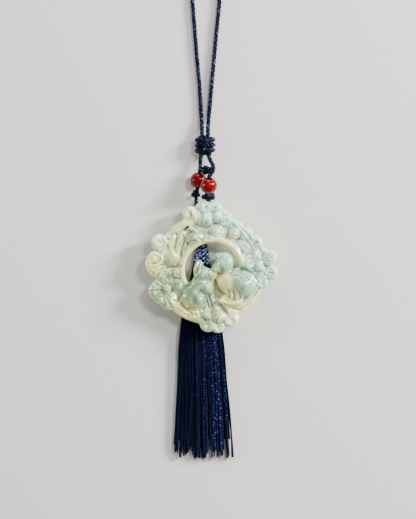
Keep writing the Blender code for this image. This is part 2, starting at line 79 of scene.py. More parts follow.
# Neck cord. The real one is a round cord plaited from six strands of dark blue silk, three laid each
# way round. It leaves the wrapped knot as two strands and comes back on itself in a free bight.
CORD = 1.9 * MM
PLAIT_STRANDS = 3
STRAND_SHARE = 0.42
LIFT_SHARE = 0.17
LAY_SHARE = 2.5
PLAIT_STEP = 0.16
STRAND_SIDES = 5
SILK_DARK = "#020309"
SILK_BLUE = "#030611"
# The colour of the cord's brightest flecks, which are painted glints.
SILK_PAINTED_GLINT = "#8498DC"
SILK_GLINT = "#9FB0EE"
NECK_ROUTE = (
    (-3.65, 60.95, 2.95),
    (-3.65, 62.9, 2.6),
    (-3.75, 66.0, 1.6),
    (-4.0, 70.3, 1.0),
    (-4.6, 80.0, 0.97),
    (-5.5, 90.0, 0.97),
    (-6.3, 100.0, 0.97),
    (-7.1, 110.0, 0.97),
    (-7.3, 114.5, 0.97),
    (-6.0, 118.3, 0.97),
    (-2.2, 120.2, 0.97),
    (1.6, 118.3, 0.97),
    (2.95, 114.5, 0.97),
    (2.8, 110.0, 0.97),
    (1.8, 100.0, 0.97),
    (0.9, 90.0, 0.97),
    (0.0, 80.0, 0.97),
    (-0.85, 70.3, 1.0),
    (-1.3, 66.0, 1.6),
    (-1.4, 62.9, 2.6),
    (-1.4, 60.95, 2.95),
)


def linear(colour):
    """An sRGB hex colour as linear RGBA."""
    values = [int(colour[i : i + 2], 16) / 255 for i in (1, 3, 5)]
    return (*(v / 12.92 if v <= 0.04045 else ((v + 0.055) / 1.055) ** 2.4 for v in values), 1.0)


def add_node(tree, kind, inputs=None, **settings):
    """Add a node with its settings. An input's value is a socket to link, or the value itself."""
    node = tree.nodes.new(kind)
    for key, value in settings.items():
        setattr(node, key, value)
    for socket, value in (inputs or {}).items():
        if isinstance(value, bpy.types.NodeSocket):
            tree.links.new(value, node.inputs[socket])
        else:
            node.inputs[socket].default_value = value
    return node


def new_finish(name):
    """A material with only its shader and output, and the two of them linked."""
    finish = bpy.data.materials.new(name)
    finish.use_nodes = True
    tree = finish.node_tree
    tree.nodes.clear()
    shader = add_node(tree, "ShaderNodeBsdfPrincipled")
    add_node(tree, "ShaderNodeOutputMaterial", {"Surface": shader.outputs["BSDF"]})
    return finish, tree, shader


def new_shape_tree(name, sizes):
    """A geometry tree with a named input for each size."""
    tree = bpy.data.node_groups.new(name, "GeometryNodeTree")
    interface = tree.interface
    interface.new_socket("Geometry", in_out="OUTPUT", socket_type="NodeSocketGeometry")
    interface.new_socket("Geometry", in_out="INPUT", socket_type="NodeSocketGeometry")
    for label, kind in sizes:
        interface.new_socket(label, in_out="INPUT", socket_type=kind)
    return tree, tree.nodes.new("NodeGroupInput").outputs


def finish_shape(tree, geometry, material):
    smooth = add_node(tree, "GeometryNodeSetShadeSmooth", {"Geometry": geometry})
    whole = add_node(tree, "GeometryNodeRealizeInstances", {"Geometry": smooth.outputs[0]})
    dressed = add_node(
        tree, "GeometryNodeSetMaterial", {"Geometry": whole.outputs[0], "Material": material}
    )
    add_node(tree, "NodeGroupOutput", {"Geometry": dressed.outputs[0]})


def grow(name, source, tree, sizes):
    """The plain mesh that a tree makes of a source object, as a piece of the scene."""
    shape = source.modifiers.new("shape", "NODES")
    shape.node_group = tree
    for item in tree.interface.items_tree:
        if item.in_out == "INPUT" and item.name in sizes:
            shape[item.identifier] = sizes[item.name]
    bpy.context.view_layer.update()
    evaluated = source.evaluated_get(bpy.context.evaluated_depsgraph_get())
    mesh = bpy.data.meshes.new_from_object(evaluated)
    mesh.name = name
    source.modifiers.remove(shape)
    bpy.data.objects.remove(source)
    piece = bpy.data.objects.new(name, mesh)
    bpy.context.scene.collection.objects.link(piece)
    return piece


def guide_line(points, closed=False, **measures):
    """A line of points joined by edges, with a measure such as its reach stored at each point."""
    edges = [(i, i + 1) for i in range(len(points) - 1)]
    if closed:
        edges.append((len(points) - 1, 0))
    mesh = bpy.data.meshes.new("guide")
    mesh.from_pydata([tuple(point) for point in points], edges, [])
    for measure, values in measures.items():
        layer = mesh.attributes.new(measure, "FLOAT", "POINT")
        layer.data.foreach_set("value", [float(v) for v in values])
    guide = bpy.data.objects.new("guide", mesh)
    bpy.context.scene.collection.objects.link(guide)
    return guide


def flowing(points, step):
    """Points every step or so along a smooth curve through the given ones."""
    ends = [2 * points[0] - points[1], *points, 2 * points[-1] - points[-2]]
    found = []
    for before, start, end, after in zip(ends, ends[1:], ends[2:], ends[3:]):
        pieces = max(1, round((end - start).length / step))
        for i in range(pieces):
            t = i / pieces
            found.append(
                0.5
                * (
                    2 * start
                    + (end - before) * t
                    + (2 * before - 5 * start + 4 * end - after) * t**2
                    + (3 * start - before - 3 * end + after) * t**3
                )
            )
    found.append(points[-1].copy())
    return found


def plait_shape(name, normals):
    """Strands laid both ways round a guide line, each going over one and under the next."""
    sizes = (
        ("Strands", "NodeSocketInt"),
        ("Lay", "NodeSocketFloat"),
        ("Lift", "NodeSocketFloat"),
        ("Step", "NodeSocketFloat"),
        ("Strand radius", "NodeSocketFloat"),
        ("Material", "NodeSocketMaterial"),
    )
    tree, given = new_shape_tree(name, sizes)
    line = add_node(tree, "GeometryNodeMeshToCurve", {"Mesh": given["Geometry"]})
    fine = add_node(
        tree,
        "GeometryNodeResampleCurve",
        {"Curve": line.outputs[0], "Length": given["Step"]},
        mode="LENGTH",
    )
    upright = add_node(
        tree, "GeometryNodeSetCurveNormal", {"Curve": fine.outputs[0]}, mode=normals
    )
    double = add_node(
        tree, "ShaderNodeMath", {0: given["Strands"], 1: 2.0}, operation="MULTIPLY"
    )
    copies = add_node(
        tree,
        "GeometryNodeDuplicateElements",
        {"Geometry": upright.outputs[0], "Amount": double.outputs[0]},
        domain="SPLINE",
    )
    number = copies.outputs["Duplicate Index"]
    odd = add_node(tree, "ShaderNodeMath", {0: number, 1: 2.0}, operation="MODULO")
    way = add_node(
        tree, "ShaderNodeMath", {0: odd.outputs[0], 1: 2.0, 2: -1.0}, operation="MULTIPLY_ADD"
    )
    pair = add_node(tree, "ShaderNodeMath", {0: number, 1: 2.0}, operation="DIVIDE")
    whole = add_node(tree, "ShaderNodeMath", {0: pair.outputs[0]}, operation="FLOOR")
    share = add_node(
        tree, "ShaderNodeMath", {0: whole.outputs[0], 1: given["Strands"]}, operation="DIVIDE"
    )
    phase = add_node(
        tree, "ShaderNodeMath", {0: share.outputs[0], 1: 2 * math.pi}, operation="MULTIPLY"
    )
    place = add_node(tree, "GeometryNodeSplineParameter")
    laid = add_node(
        tree, "ShaderNodeMath", {0: place.outputs["Length"], 1: given["Lay"]}, operation="DIVIDE"
    )
    turned = add_node(
        tree, "ShaderNodeMath", {0: laid.outputs[0], 1: 2 * math.pi}, operation="MULTIPLY"
    )
    angle = add_node(
        tree,
        "ShaderNodeMath",
        {0: turned.outputs[0], 1: way.outputs[0], 2: phase.outputs[0]},
        operation="MULTIPLY_ADD",
    )
    crossing = add_node(
        tree, "ShaderNodeMath", {0: turned.outputs[0], 1: given["Strands"]}, operation="MULTIPLY"
    )
    over = add_node(tree, "ShaderNodeMath", {0: crossing.outputs[0]}, operation="COSINE")
    signed = add_node(
        tree, "ShaderNodeMath", {0: over.outputs[0], 1: way.outputs[0]}, operation="MULTIPLY"
    )
    lift = add_node(
        tree, "ShaderNodeMath", {0: signed.outputs[0], 1: given["Lift"]}, operation="MULTIPLY"
    )
    normal = add_node(tree, "GeometryNodeInputNormal")
    tangent = add_node(tree, "GeometryNodeInputTangent")
    beside = add_node(
        tree,
        "ShaderNodeVectorMath",
        {0: tangent.outputs[0], 1: normal.outputs[0]},
        operation="CROSS_PRODUCT",
    )
    offset = None
    for measure, wave, direction in (
        ("across", "COSINE", normal.outputs[0]),
        ("upward", "SINE", beside.outputs[0]),
    ):
        reach = add_node(
            tree, "GeometryNodeInputNamedAttribute", {"Name": measure}, data_type="FLOAT"
        )
        lifted = add_node(
            tree, "ShaderNodeMath", {0: reach.outputs[0], 1: lift.outputs[0]}, operation="ADD"
        )
        turn = add_node(tree, "ShaderNodeMath", {0: angle.outputs[0]}, operation=wave)
        length = add_node(
            tree, "ShaderNodeMath", {0: lifted.outputs[0], 1: turn.outputs[0]}, operation="MULTIPLY"
        )
        part = add_node(
            tree,
            "ShaderNodeVectorMath",
            {0: direction, "Scale": length.outputs[0]},
            operation="SCALE",
        )
        if offset is None:
            offset = part
        else:
            offset = add_node(
                tree,
                "ShaderNodeVectorMath",
                {0: offset.outputs[0], 1: part.outputs[0]},
                operation="ADD",
            )
    moved = add_node(
        tree,
        "GeometryNodeSetPosition",
        {"Geometry": copies.outputs["Geometry"], "Offset": offset.outputs[0]},
    )
    ring = add_node(
        tree,
        "GeometryNodeCurvePrimitiveCircle",
        {"Resolution": STRAND_SIDES, "Radius": given["Strand radius"]},
        mode="RADIUS",
    )
    skin = add_node(
        tree,
        "GeometryNodeCurveToMesh",
        {"Curve": moved.outputs[0], "Profile Curve": ring.outputs[0], "Fill Caps": True},
    )
    finish_shape(tree, skin.outputs[0], given["Material"])
    return tree


# Silk, spun fine and plaited: almost black in its folds, with a cool blue sheen where the light
# catches it. The plait itself is modelled, so the shader adds only tufts of fibre as a fine bump, drawn
# far coarser than real fibre, or they wouldn't show. Its brightest pale blue flecks are painted glints.
FIBRE_SIZE = 0.625 * MM
plaited_silk, tree, shader = new_finish("Plaited silk cord")
coords = add_node(tree, "ShaderNodeTexCoord")
fibres_and_glints = add_node(
    tree,
    "ShaderNodeTexNoise",
    {"Vector": coords.outputs["Object"], "Scale": 1 / FIBRE_SIZE, "Detail": 2.0, "Roughness": 0.6},
)
colours = add_node(tree, "ShaderNodeValToRGB", {"Fac": fibres_and_glints.outputs["Fac"]})
colours.color_ramp.elements[0].position = 0.4
colours.color_ramp.elements[0].color = linear(SILK_DARK)
colours.color_ramp.elements[1].position = 0.6
colours.color_ramp.elements[1].color = linear(SILK_BLUE)
# Painted glints: the brightest flecks of the noise are pale blue.
colours.color_ramp.elements.new(0.74).color = linear(SILK_PAINTED_GLINT)
bump = add_node(
    tree,
    "ShaderNodeBump",
    {"Height": fibres_and_glints.outputs["Fac"], "Strength": 0.4, "Distance": 0.05 * MM},
)
tree.links.new(colours.outputs["Color"], shader.inputs["Base Color"])
tree.links.new(bump.outputs["Normal"], shader.inputs["Normal"])
shader.inputs["Roughness"].default_value = 0.24
shader.inputs["Specular IOR Level"].default_value = 0.2
shader.inputs["Specular Tint"].default_value = linear(SILK_GLINT)

plait = plait_shape("Plaited cord", "MINIMUM_TWIST")


def plaited(name, points, diameter, closed=False):
    """A plaited cord along the given points."""
    line = [Vector(point) for point in points]
    strand = STRAND_SHARE * diameter / 2
    lift = LIFT_SHARE * diameter / 2
    reach = diameter / 2 - strand - lift
    length = sum((b - a).length for a, b in zip(line, line[1:]))
    if closed:
        length += (line[0] - line[-1]).length
    lay = length / max(1, round(length / (LAY_SHARE * diameter)))
    guide = guide_line(line, closed, across=[reach] * len(line), upward=[reach] * len(line))
    sizes = {
        "Strands": PLAIT_STRANDS,
        "Lay": lay,
        "Lift": lift,
        "Step": PLAIT_STEP * diameter,
        "Strand radius": strand,
        "Material": plaited_silk,
    }
    piece = grow(name, guide, plait, sizes)
    return piece


neck_line = flowing([Vector(point) * MM for point in NECK_ROUTE], 0.5 * CORD)
neck_cord = plaited("plaited_neck_cord", neck_line, CORD)
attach(neck_cord, "root")
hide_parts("neck_cord")

# Wrapped knot. The same cord is wound three times round both strands and pulled tight, so its turns
# lie close and slope a little. Its ends are tucked under, and two inner turns lie in the grooves.
WRAP_CENTRE = Vector((-2.5 * MM, 57.4 * MM, 2.95 * MM))
WRAP_TURNS = 3
WRAP_CORD = 1.02 * CORD
WRAP_PITCH = 1.03 * CORD
WRAP_WIDE = 3.1 * MM
WRAP_THICK = WRAP_CENTRE.z - CORD / 2
WRAP_SLOPE = 0.13
INNER_TURNS = 2
INNER_DEPTH = 0.7 * MM
TUCK_TURN = 0.3
TUCK_DEPTH = 0.8 * CORD
TUCK_PULL = 0.16
STEPS_A_TURN = 36


def wound_cord(name, turn_count, depth):
    """Cord wound flat round the strands, at a depth under the knot's outer turns."""
    line = []
    for i in range(int(STEPS_A_TURN * (turn_count + 2 * TUCK_TURN)) + 1):
        turns = i / STEPS_A_TURN - TUCK_TURN
        wound = min(max(turns, 0.0), turn_count)
        tucked = abs(turns - wound) / TUCK_TURN
        angle = 2 * math.pi * turns - math.pi / 2
        wide = (WRAP_WIDE - depth - TUCK_DEPTH * tucked) * math.cos(angle)
        thick = (WRAP_THICK - depth - TUCK_DEPTH * tucked) * math.sin(angle)
        pull = 1 - TUCK_PULL * tucked
        along = (turn_count / 2 - wound) * WRAP_PITCH * pull - WRAP_SLOPE * wide
        line.append(WRAP_CENTRE + Vector((wide, along, thick)))
    turns_piece = plaited(name, line, WRAP_CORD)
    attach(turns_piece, "root")
    return turns_piece


wrapped_knot = wound_cord("cord_wrapped_knot", WRAP_TURNS, 0.0)
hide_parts("wrapped_knot")
wound_cord("cord_inner_turns", INNER_TURNS, INNER_DEPTH)

# Strands. Below the wrapped knot the two strands part, the right one bowing out and up, and each goes
# down through its bead. They are the same plaited cord.
CLEARANCE = 0.3 * MM
BEAD_RADIUS = 3.13 * MM
LEFT_BEAD = Vector((-5.0 * MM, 44.2 * MM, BEAD_RADIUS + 0.1 * MM))
RIGHT_BEAD = LEFT_BEAD + Vector((3.9 * MM, -2.1 * MM, 0.0))
BEAD_SPREAD = (RIGHT_BEAD - LEFT_BEAD).to_2d().length
RIGHT_BEAD.z = LEFT_BEAD.z + math.sqrt((2 * BEAD_RADIUS + CLEARANCE) ** 2 - BEAD_SPREAD**2)
LEFT_DIRECTION = Vector((-0.13, -1.0, 0.0)).normalized()
RIGHT_DIRECTION = Vector((-0.03, -1.0, -0.33)).normalized()
STRAND_TOP_Y = WRAP_CENTRE.y - WRAP_TURNS * 0.55 * CORD
STRAND_STEP = 0.4 * CORD
KNOT_HALF_LENGTH = 1.35 * MM
LEFT_KNOT = Vector((-5.9 * MM, 0.0, 2.6 * MM))
LEFT_KNOT.y = LEFT_BEAD.y - BEAD_RADIUS - 2 * CLEARANCE - KNOT_HALF_LENGTH
RIGHT_KNOT = Vector((-1.0 * MM, 38.1 * MM, 4.2 * MM))
LEFT_BULGE = ((0.35, 0.0, 0.0), (0.7, 0.1, 0.0))
RIGHT_BULGE = ((0.25, 0.6, 0.0), (0.5, 1.6, 0.5), (0.7, 1.7, 0.9), (0.87, 0.8, 0.6))


def strand_route(top, bulge, bead, direction, knot):
    """From inside the wrapped knot, straight through the bead and into the knot below it."""
    stretch = direction * (BEAD_RADIUS + CLEARANCE)
    through = [bead - stretch, bead - stretch / 2, bead, bead + stretch / 2, bead + stretch, knot]
    shoulders = []
    for share, sideways, upwards in bulge:
        shoulders.append(top.lerp(through[0], share) + Vector((sideways, 0.0, upwards)) * MM)
    start = top + Vector((0.0, 1.5 * CORD, 0.0))
    return flowing([start, top, *shoulders, *through], STRAND_STEP)


left_top = Vector((-4.0 * MM, STRAND_TOP_Y, WRAP_CENTRE.z))
right_top = Vector((-1.4 * MM, STRAND_TOP_Y, WRAP_CENTRE.z))
left_line = strand_route(left_top, LEFT_BULGE, LEFT_BEAD, LEFT_DIRECTION, LEFT_KNOT)
right_line = strand_route(right_top, RIGHT_BULGE, RIGHT_BEAD, RIGHT_DIRECTION, RIGHT_KNOT)
for name, line in (("left", left_line), ("right", right_line)):
    strand = plaited(f"plaited_{name}_strand", line, CORD)
    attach(strand, "root")
    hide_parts(f"{name}_strand")

# Small knots. Each is tied in thinner plaited cord and pulled tight into a lump: one under each bead
# keeps it up, and one holds the two strands together just above the beads.
KNOT_CORD = 1.35 * MM
KNOT_LOOPS = 3
KNOT_TILT = 1.1
KNOT_STEPS = 120
CROSSING_KNOT = Vector((-2.0 * MM, 47.9 * MM, 5.7 * MM))


def tied_knot(node, centre, radii, turn):
    """Cord wound over and over an ellipsoid of the given half sizes, which it fills."""
    place = Matrix.Rotation(math.radians(turn), 3, "Z")
    points = []
    for i in range(KNOT_STEPS):
        t = 2 * math.pi * i / KNOT_STEPS
        around = KNOT_LOOPS * t
        tilt = KNOT_TILT * math.sin(2 * t)
        depth = KNOT_CORD * (0.5 + 0.25 * math.cos(5 * t))
        spot = Vector(
            (
                (radii[0] - depth) * math.cos(around) * math.cos(tilt),
                (radii[1] - depth) * math.sin(tilt),
                (radii[2] - depth) * math.sin(around) * math.cos(tilt),
            )
        )
        points.append(centre + place @ spot)
    knot = plaited(f"tied_{node}", points, KNOT_CORD, closed=True)
    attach(knot, "root")
    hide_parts(node)


tied_knot("left_knot", LEFT_KNOT, (1.8 * MM, 1.6 * MM, 1.7 * MM), 20)
tied_knot("right_knot", RIGHT_KNOT, (2.8 * MM, 1.7 * MM, 1.8 * MM), 5)
tied_knot("crossing_knot", CROSSING_KNOT, (2.8 * MM, 1.7 * MM, 1.6 * MM), -10)

# Beads. Two round red glass beads, turned and polished, with a bore for the cord whose edges are
# eased. Glass this deep in colour shows its gloss and only a little light from within.
BEAD_BORE = CORD + 2 * CLEARANCE
BORE_EASE = 0.2 * MM
BEAD_STEPS = 40
BEAD_SIDES = 72
BEAD_RED = "#7A0000"
BEAD_DEEP = "#4C0000"


def bored_bead(name, node, centre, direction):
    """A ball turned from its section, with the bore and its eased edges in the section."""
    bore = BEAD_BORE / 2
    ball_edge = math.asin((bore + BORE_EASE) / BEAD_RADIUS)
    section = []
    for i in range(BEAD_STEPS + 1):
        angle = ball_edge + (math.pi - 2 * ball_edge) * i / BEAD_STEPS
        section.append((BEAD_RADIUS * math.sin(angle), BEAD_RADIUS * math.cos(angle)))
    mouth = BEAD_RADIUS * math.cos(ball_edge) - BORE_EASE
    section.append((bore, -mouth))
    section.append((bore, mouth))
    bm = bmesh.new()
    rings = []
    for k in range(BEAD_SIDES):
        turn = 2 * math.pi * k / BEAD_SIDES
        rings.append(
            [bm.verts.new((r * math.cos(turn), r * math.sin(turn), z)) for r, z in section]
        )
    for ring, following in zip(rings, rings[1:] + rings[:1]):
        for i in range(len(section)):
            n = (i + 1) % len(section)
            bm.faces.new((ring[i], ring[n], following[n], following[i]))
    bmesh.ops.recalc_face_normals(bm, faces=bm.faces)
    place = Matrix.Translation(centre) @ direction.to_track_quat("Z", "Y").to_matrix().to_4x4()
    bmesh.ops.transform(bm, matrix=place, verts=bm.verts)
    mesh = bpy.data.meshes.new(name)
    bm.to_mesh(mesh)
    bm.free()
    mesh.shade_smooth()
    mesh.materials.append(red_glass)
    bead = bpy.data.objects.new(name, mesh)
    bpy.context.scene.collection.objects.link(bead)
    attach(bead, "root")
    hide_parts(node)


# Pressed glass, polished: a saturated red with faint swirls, a hard gloss and a slight inner glow.
SWIRL_SIZE = 3.85 * MM
red_glass, tree, shader = new_finish("Red pressed glass")
coords = add_node(tree, "ShaderNodeTexCoord")
swirl = add_node(
    tree,
    "ShaderNodeTexNoise",
    {
        "Vector": coords.outputs["Object"],
        "Scale": 1 / SWIRL_SIZE,
        "Detail": 3.0,
        "Distortion": 1.5,
    },
)
colours = add_node(tree, "ShaderNodeValToRGB", {"Fac": swirl.outputs["Fac"]})
colours.color_ramp.elements[0].position = 0.3
colours.color_ramp.elements[0].color = linear(BEAD_DEEP)
colours.color_ramp.elements[1].position = 0.55
colours.color_ramp.elements[1].color = linear(BEAD_RED)
tree.links.new(colours.outputs["Color"], shader.inputs["Base Color"])
shader.inputs["Roughness"].default_value = 0.08
shader.inputs["IOR"].default_value = 1.5
shader.inputs["Specular IOR Level"].default_value = 0.3
shader.inputs["Subsurface Weight"].default_value = 0.1
shader.inputs["Subsurface Radius"].default_value = (1.0, 0.1, 0.05)
shader.inputs["Subsurface Scale"].default_value = 1.0 * MM

bored_bead("round_left_bead", "left_bead", LEFT_BEAD, LEFT_DIRECTION)
bored_bead("round_right_bead", "right_bead", RIGHT_BEAD, RIGHT_DIRECTION)

# Jade plaque. One disc of pale green stone, pierced and carved by hand: four flowers grow over its
# rim, a round gate with a plain band opens its middle, and two small animals sit on the gate's sill.
# The forms are fused first, then the veins, curls and cut lines are carved into them.
DESIGN = 1.0 * MM
PLAQUE_WIDTH = 50.0 * MM
PLAQUE_Y = 11.65 * MM
BACK_HEIGHT = 4.3 * MM
DISC_CENTRE = (-0.7, -0.5)
DISC_RADIUS = 21.0
DISC_FOOT = -1.0
GROUND_HEIGHT = 3.4
EDGE_HEIGHT = 2.2
RIM_RADIUS = 2.0
GATE_CENTRE = (0.2, -1.1)
GATE_RADIUS = 10.2
GATE_BAND = 1.3
GATE_STEPS = 64
SILL_LEFT = (-8.9, -6.0)
SILL_RIGHT = (10.3, 0.1)
FORM_FLATNESS = 0.62
ROUGH_VOXEL = 0.3
FINE_VOXEL = 0.242

# How the stone is worked, in design millimetres: how deep each kind of cut is, how high a petal's lip
# stands and where it lies, how far the faces wander, and how strongly each pass wears the stone.
CUP_DEPTH = 0.55
VEIN_DEPTH = 0.3
LIP_HEIGHT = 0.22
LIP_PLACE = 0.84
FLAT_DEPTH = 0.15
FLAT_VEIN_DEPTH = 0.4
RIB_DEPTH = 0.36
CURL_DEPTH = 0.36
CREASE_DEPTH = 0.3
SWAY_DEPTH = 0.09
TOOL_DEPTH = 0.025
WORN_PASSES = 9
WORN_SHARE = 0.6
POLISHED_SHARE = 0.55
POLISHED_ABOVE = 0.15

# Petals: place, half width, half length, turn in degrees, height of the top, then how the petal is
# carved: the kind of cut, the direction of its tip in degrees, and the number of cuts or turns.
PETALS = (
    (-3.8, 22.1, 2.4, 2.4, 0, 4.7, "petal", 105, 3),
    (-2.1, 21.5, 3.2, 3.2, 0, 5.2, "petal", 95, 4),
    (1.0, 21.4, 3.2, 3.2, 0, 5.0, "petal", 78, 4),
    (4.4, 18.2, 3.4, 3.4, 0, 4.9, "petal", 45, 4),
    (-8.3, 20.2, 2.8, 2.8, 0, 4.8, "petal", 125, 3),
    (-1.9, 18.2, 2.7, 2.8, 0, 5.9, "ribs", 80, 1),
    (2.1, 18.8, 2.2, 2.3, 0, 5.9, "plain", 0, 0),
    (5.2, 17.4, 2.3, 2.3, 0, 5.5, "petal", 30, 3),
    (-5.4, 18.6, 2.0, 2.6, 20, 5.0, "ribs", 95, 2),
    (9.2, 14.7, 2.8, 2.9, 0, 4.8, "ribs", 138, 2),
    (12.8, 12.5, 2.8, 2.8, 0, 4.9, "ribs", 134, 2),
    (16.5, 9.1, 2.8, 2.8, 0, 4.9, "petal", 42, 4),
    (19.1, 4.9, 2.5, 2.6, 0, 4.8, "petal", 50, 4),
    (21.6, 3.6, 3.0, 3.1, 0, 5.2, "petal", 15, 5),
    (22.1, -2.2, 2.8, 2.8, 0, 5.2, "petal", -15, 4),
    (18.5, -5.4, 2.7, 2.7, 0, 5.0, "petal", -60, 4),
    (14.4, 1.6, 2.8, 3.2, 0, 5.2, "petal", 200, 4),
    (17.6, 0.4, 1.5, 1.5, 0, 5.8, "curl", 30, 1.0),
    (2.0, 13.3, 2.6, 2.6, 0, 5.0, "curl", 270, 1.6),
    (8.6, 12.8, 2.3, 2.3, 0, 5.3, "curl", 240, 1.4),
    (12.2, 7.6, 3.2, 1.9, -40, 4.5, "ribs", -40, 1),
    (17.0, 4.4, 1.8, 2.4, -20, 5.2, "ribs", 70, 2),
    (7.0, -19.1, 3.4, 3.4, 0, 5.0, "petal", -50, 3),
    (2.2, -22.0, 2.7, 2.7, 0, 4.9, "petal", -70, 3),
    (-1.4, -21.2, 3.2, 3.2, 0, 5.0, "petal", -100, 4),
    (2.4, -18.6, 2.2, 2.4, -30, 5.5, "ribs", 60, 3),
    (-2.0, -18.0, 1.6, 1.6, 0, 5.6, "curl", 100, 1.0),
    (-6.2, -16.9, 2.9, 1.7, 15, 4.5, "ribs", 105, 2),
    (-20.8, 1.3, 4.1, 5.0, 0, 5.0, "petal", 170, 4),
    (-19.4, 9.2, 3.3, 3.3, 0, 5.0, "petal", 140, 5),
    (-17.4, 9.0, 2.8, 2.8, 0, 4.6, "veins", -50, 4),
    (-14.8, 3.4, 3.0, 3.1, 0, 5.5, "plain", 0, 0),
    (-16.1, -12.8, 3.3, 3.3, 0, 5.0, "veins", -60, 5),
    (-20.0, -8.7, 3.8, 3.8, 0, 4.9, "petal", 180, 5),
    (-18.9, -10.9, 3.0, 3.0, 0, 4.8, "petal", 215, 3),
    (-17.0, -3.2, 3.0, 3.0, 0, 5.2, "petal", 120, 4),
    (-12.8, -2.2, 2.3, 2.4, 0, 5.3, "curl", 60, 1.2),
    (-13.0, -6.4, 2.4, 2.2, 0, 5.2, "petal", 10, 3),
    (-16.8, -8.0, 1.6, 1.6, 0, 5.8, "curl", 200, 1.0),
    (-14.6, 9.4, 1.2, 3.6, -25, 4.5, "plain", 0, 0),
    (-12.2, 10.4, 1.2, 3.8, -35, 4.7, "plain", 0, 0),
    (-6.0, 10.9, 3.2, 2.4, 25, 5.0, "plain", 0, 0),
    (-6.9, 14.0, 0.8, 2.6, 62, 4.8, "plain", 0, 0),
)

# The animals' bodies, heads, ears and feet: place, half sizes, turn in degrees, height of the middle.
ANIMALS = (
    (-6.5, -11.2, 5.0, 4.9, 3.9, 0, 2.6),
    (-5.1, -11.6, 2.6, 2.6, 2.6, 0, 4.3),
    (-4.3, -6.9, 3.9, 3.8, 3.3, 0, 2.8),
    (-1.7, -7.6, 2.2, 2.9, 3.0, 0, 3.0),
    (-3.4, -2.6, 3.1, 3.1, 3.2, 0, 2.8),
    (-1.2, -2.3, 2.1, 2.0, 2.4, 0, 2.8),
    (-5.0, -1.0, 1.9, 3.9, 2.1, -8, 2.8),
    (11.7, -6.2, 5.3, 5.2, 4.0, 0, 2.6),
    (6.3, -5.2, 4.2, 4.6, 3.3, 0, 2.8),
    (4.8, 1.8, 3.4, 4.0, 3.3, 0, 2.8),
    (2.1, -0.4, 2.2, 2.3, 2.6, 0, 2.8),
    (2.0, 4.75, 0.85, 0.7, 1.3, 0, 2.9),
    (3.2, 4.2, 1.7, 1.35, 2.2, 15, 2.9),
    (9.2, -5.0, 4.0, 4.2, 3.75, 0, 2.6),
    (7.2, -9.8, 1.2, 2.0, 2.2, 12, 2.6),
    (9.2, -10.6, 1.0, 1.6, 2.2, 12, 2.6),
    (4.0, -12.8, 2.5, 1.0, 2.2, -15, 2.9),
    (8.6, -13.4, 2.7, 1.0, 2.2, 8, 2.9),
    (1.1, -2.0, 1.4, 2.6, 1.3, 0, 2.5),
)
CUT_BELOW = -5.0
CUT_ABOVE = 12.0
HOLLOW_FLOOR = 1.6
HOLLOW_OUTLINE = (
    (0.7, -4.2),
    (1.0, -8.4),
    (0.5, -12.0),
    (2.7, -12.0),
    (3.6, -10.9),
    (5.3, -10.1),
    (2.5, -7.4),
    (1.6, -4.3),
)
SLOT_PLACE = (-9.6, 14.5)
SLOT_HALF_LENGTH = 1.5
SLOT_HALF_WIDTH = 0.5
SLOT_TURN = 35
SLOT_STEPS = 20

# Notches in the outline between the petals of the upper right: place and radius.
NOTCHES = (
    (12.4, 15.5, 0.8),
    (15.9, 12.2, 0.8),
)

# The hanger cord, and the curved tunnel bored for it in the stone's back, high up behind the flowers.
HANGER = 1.4 * MM
TUNNEL_BORE = HANGER + 2 * CLEARANCE
TUNNEL_SPAN = RIGHT_KNOT.x - LEFT_KNOT.x
TUNNEL_Y = PLAQUE_Y + 19.0 * DESIGN

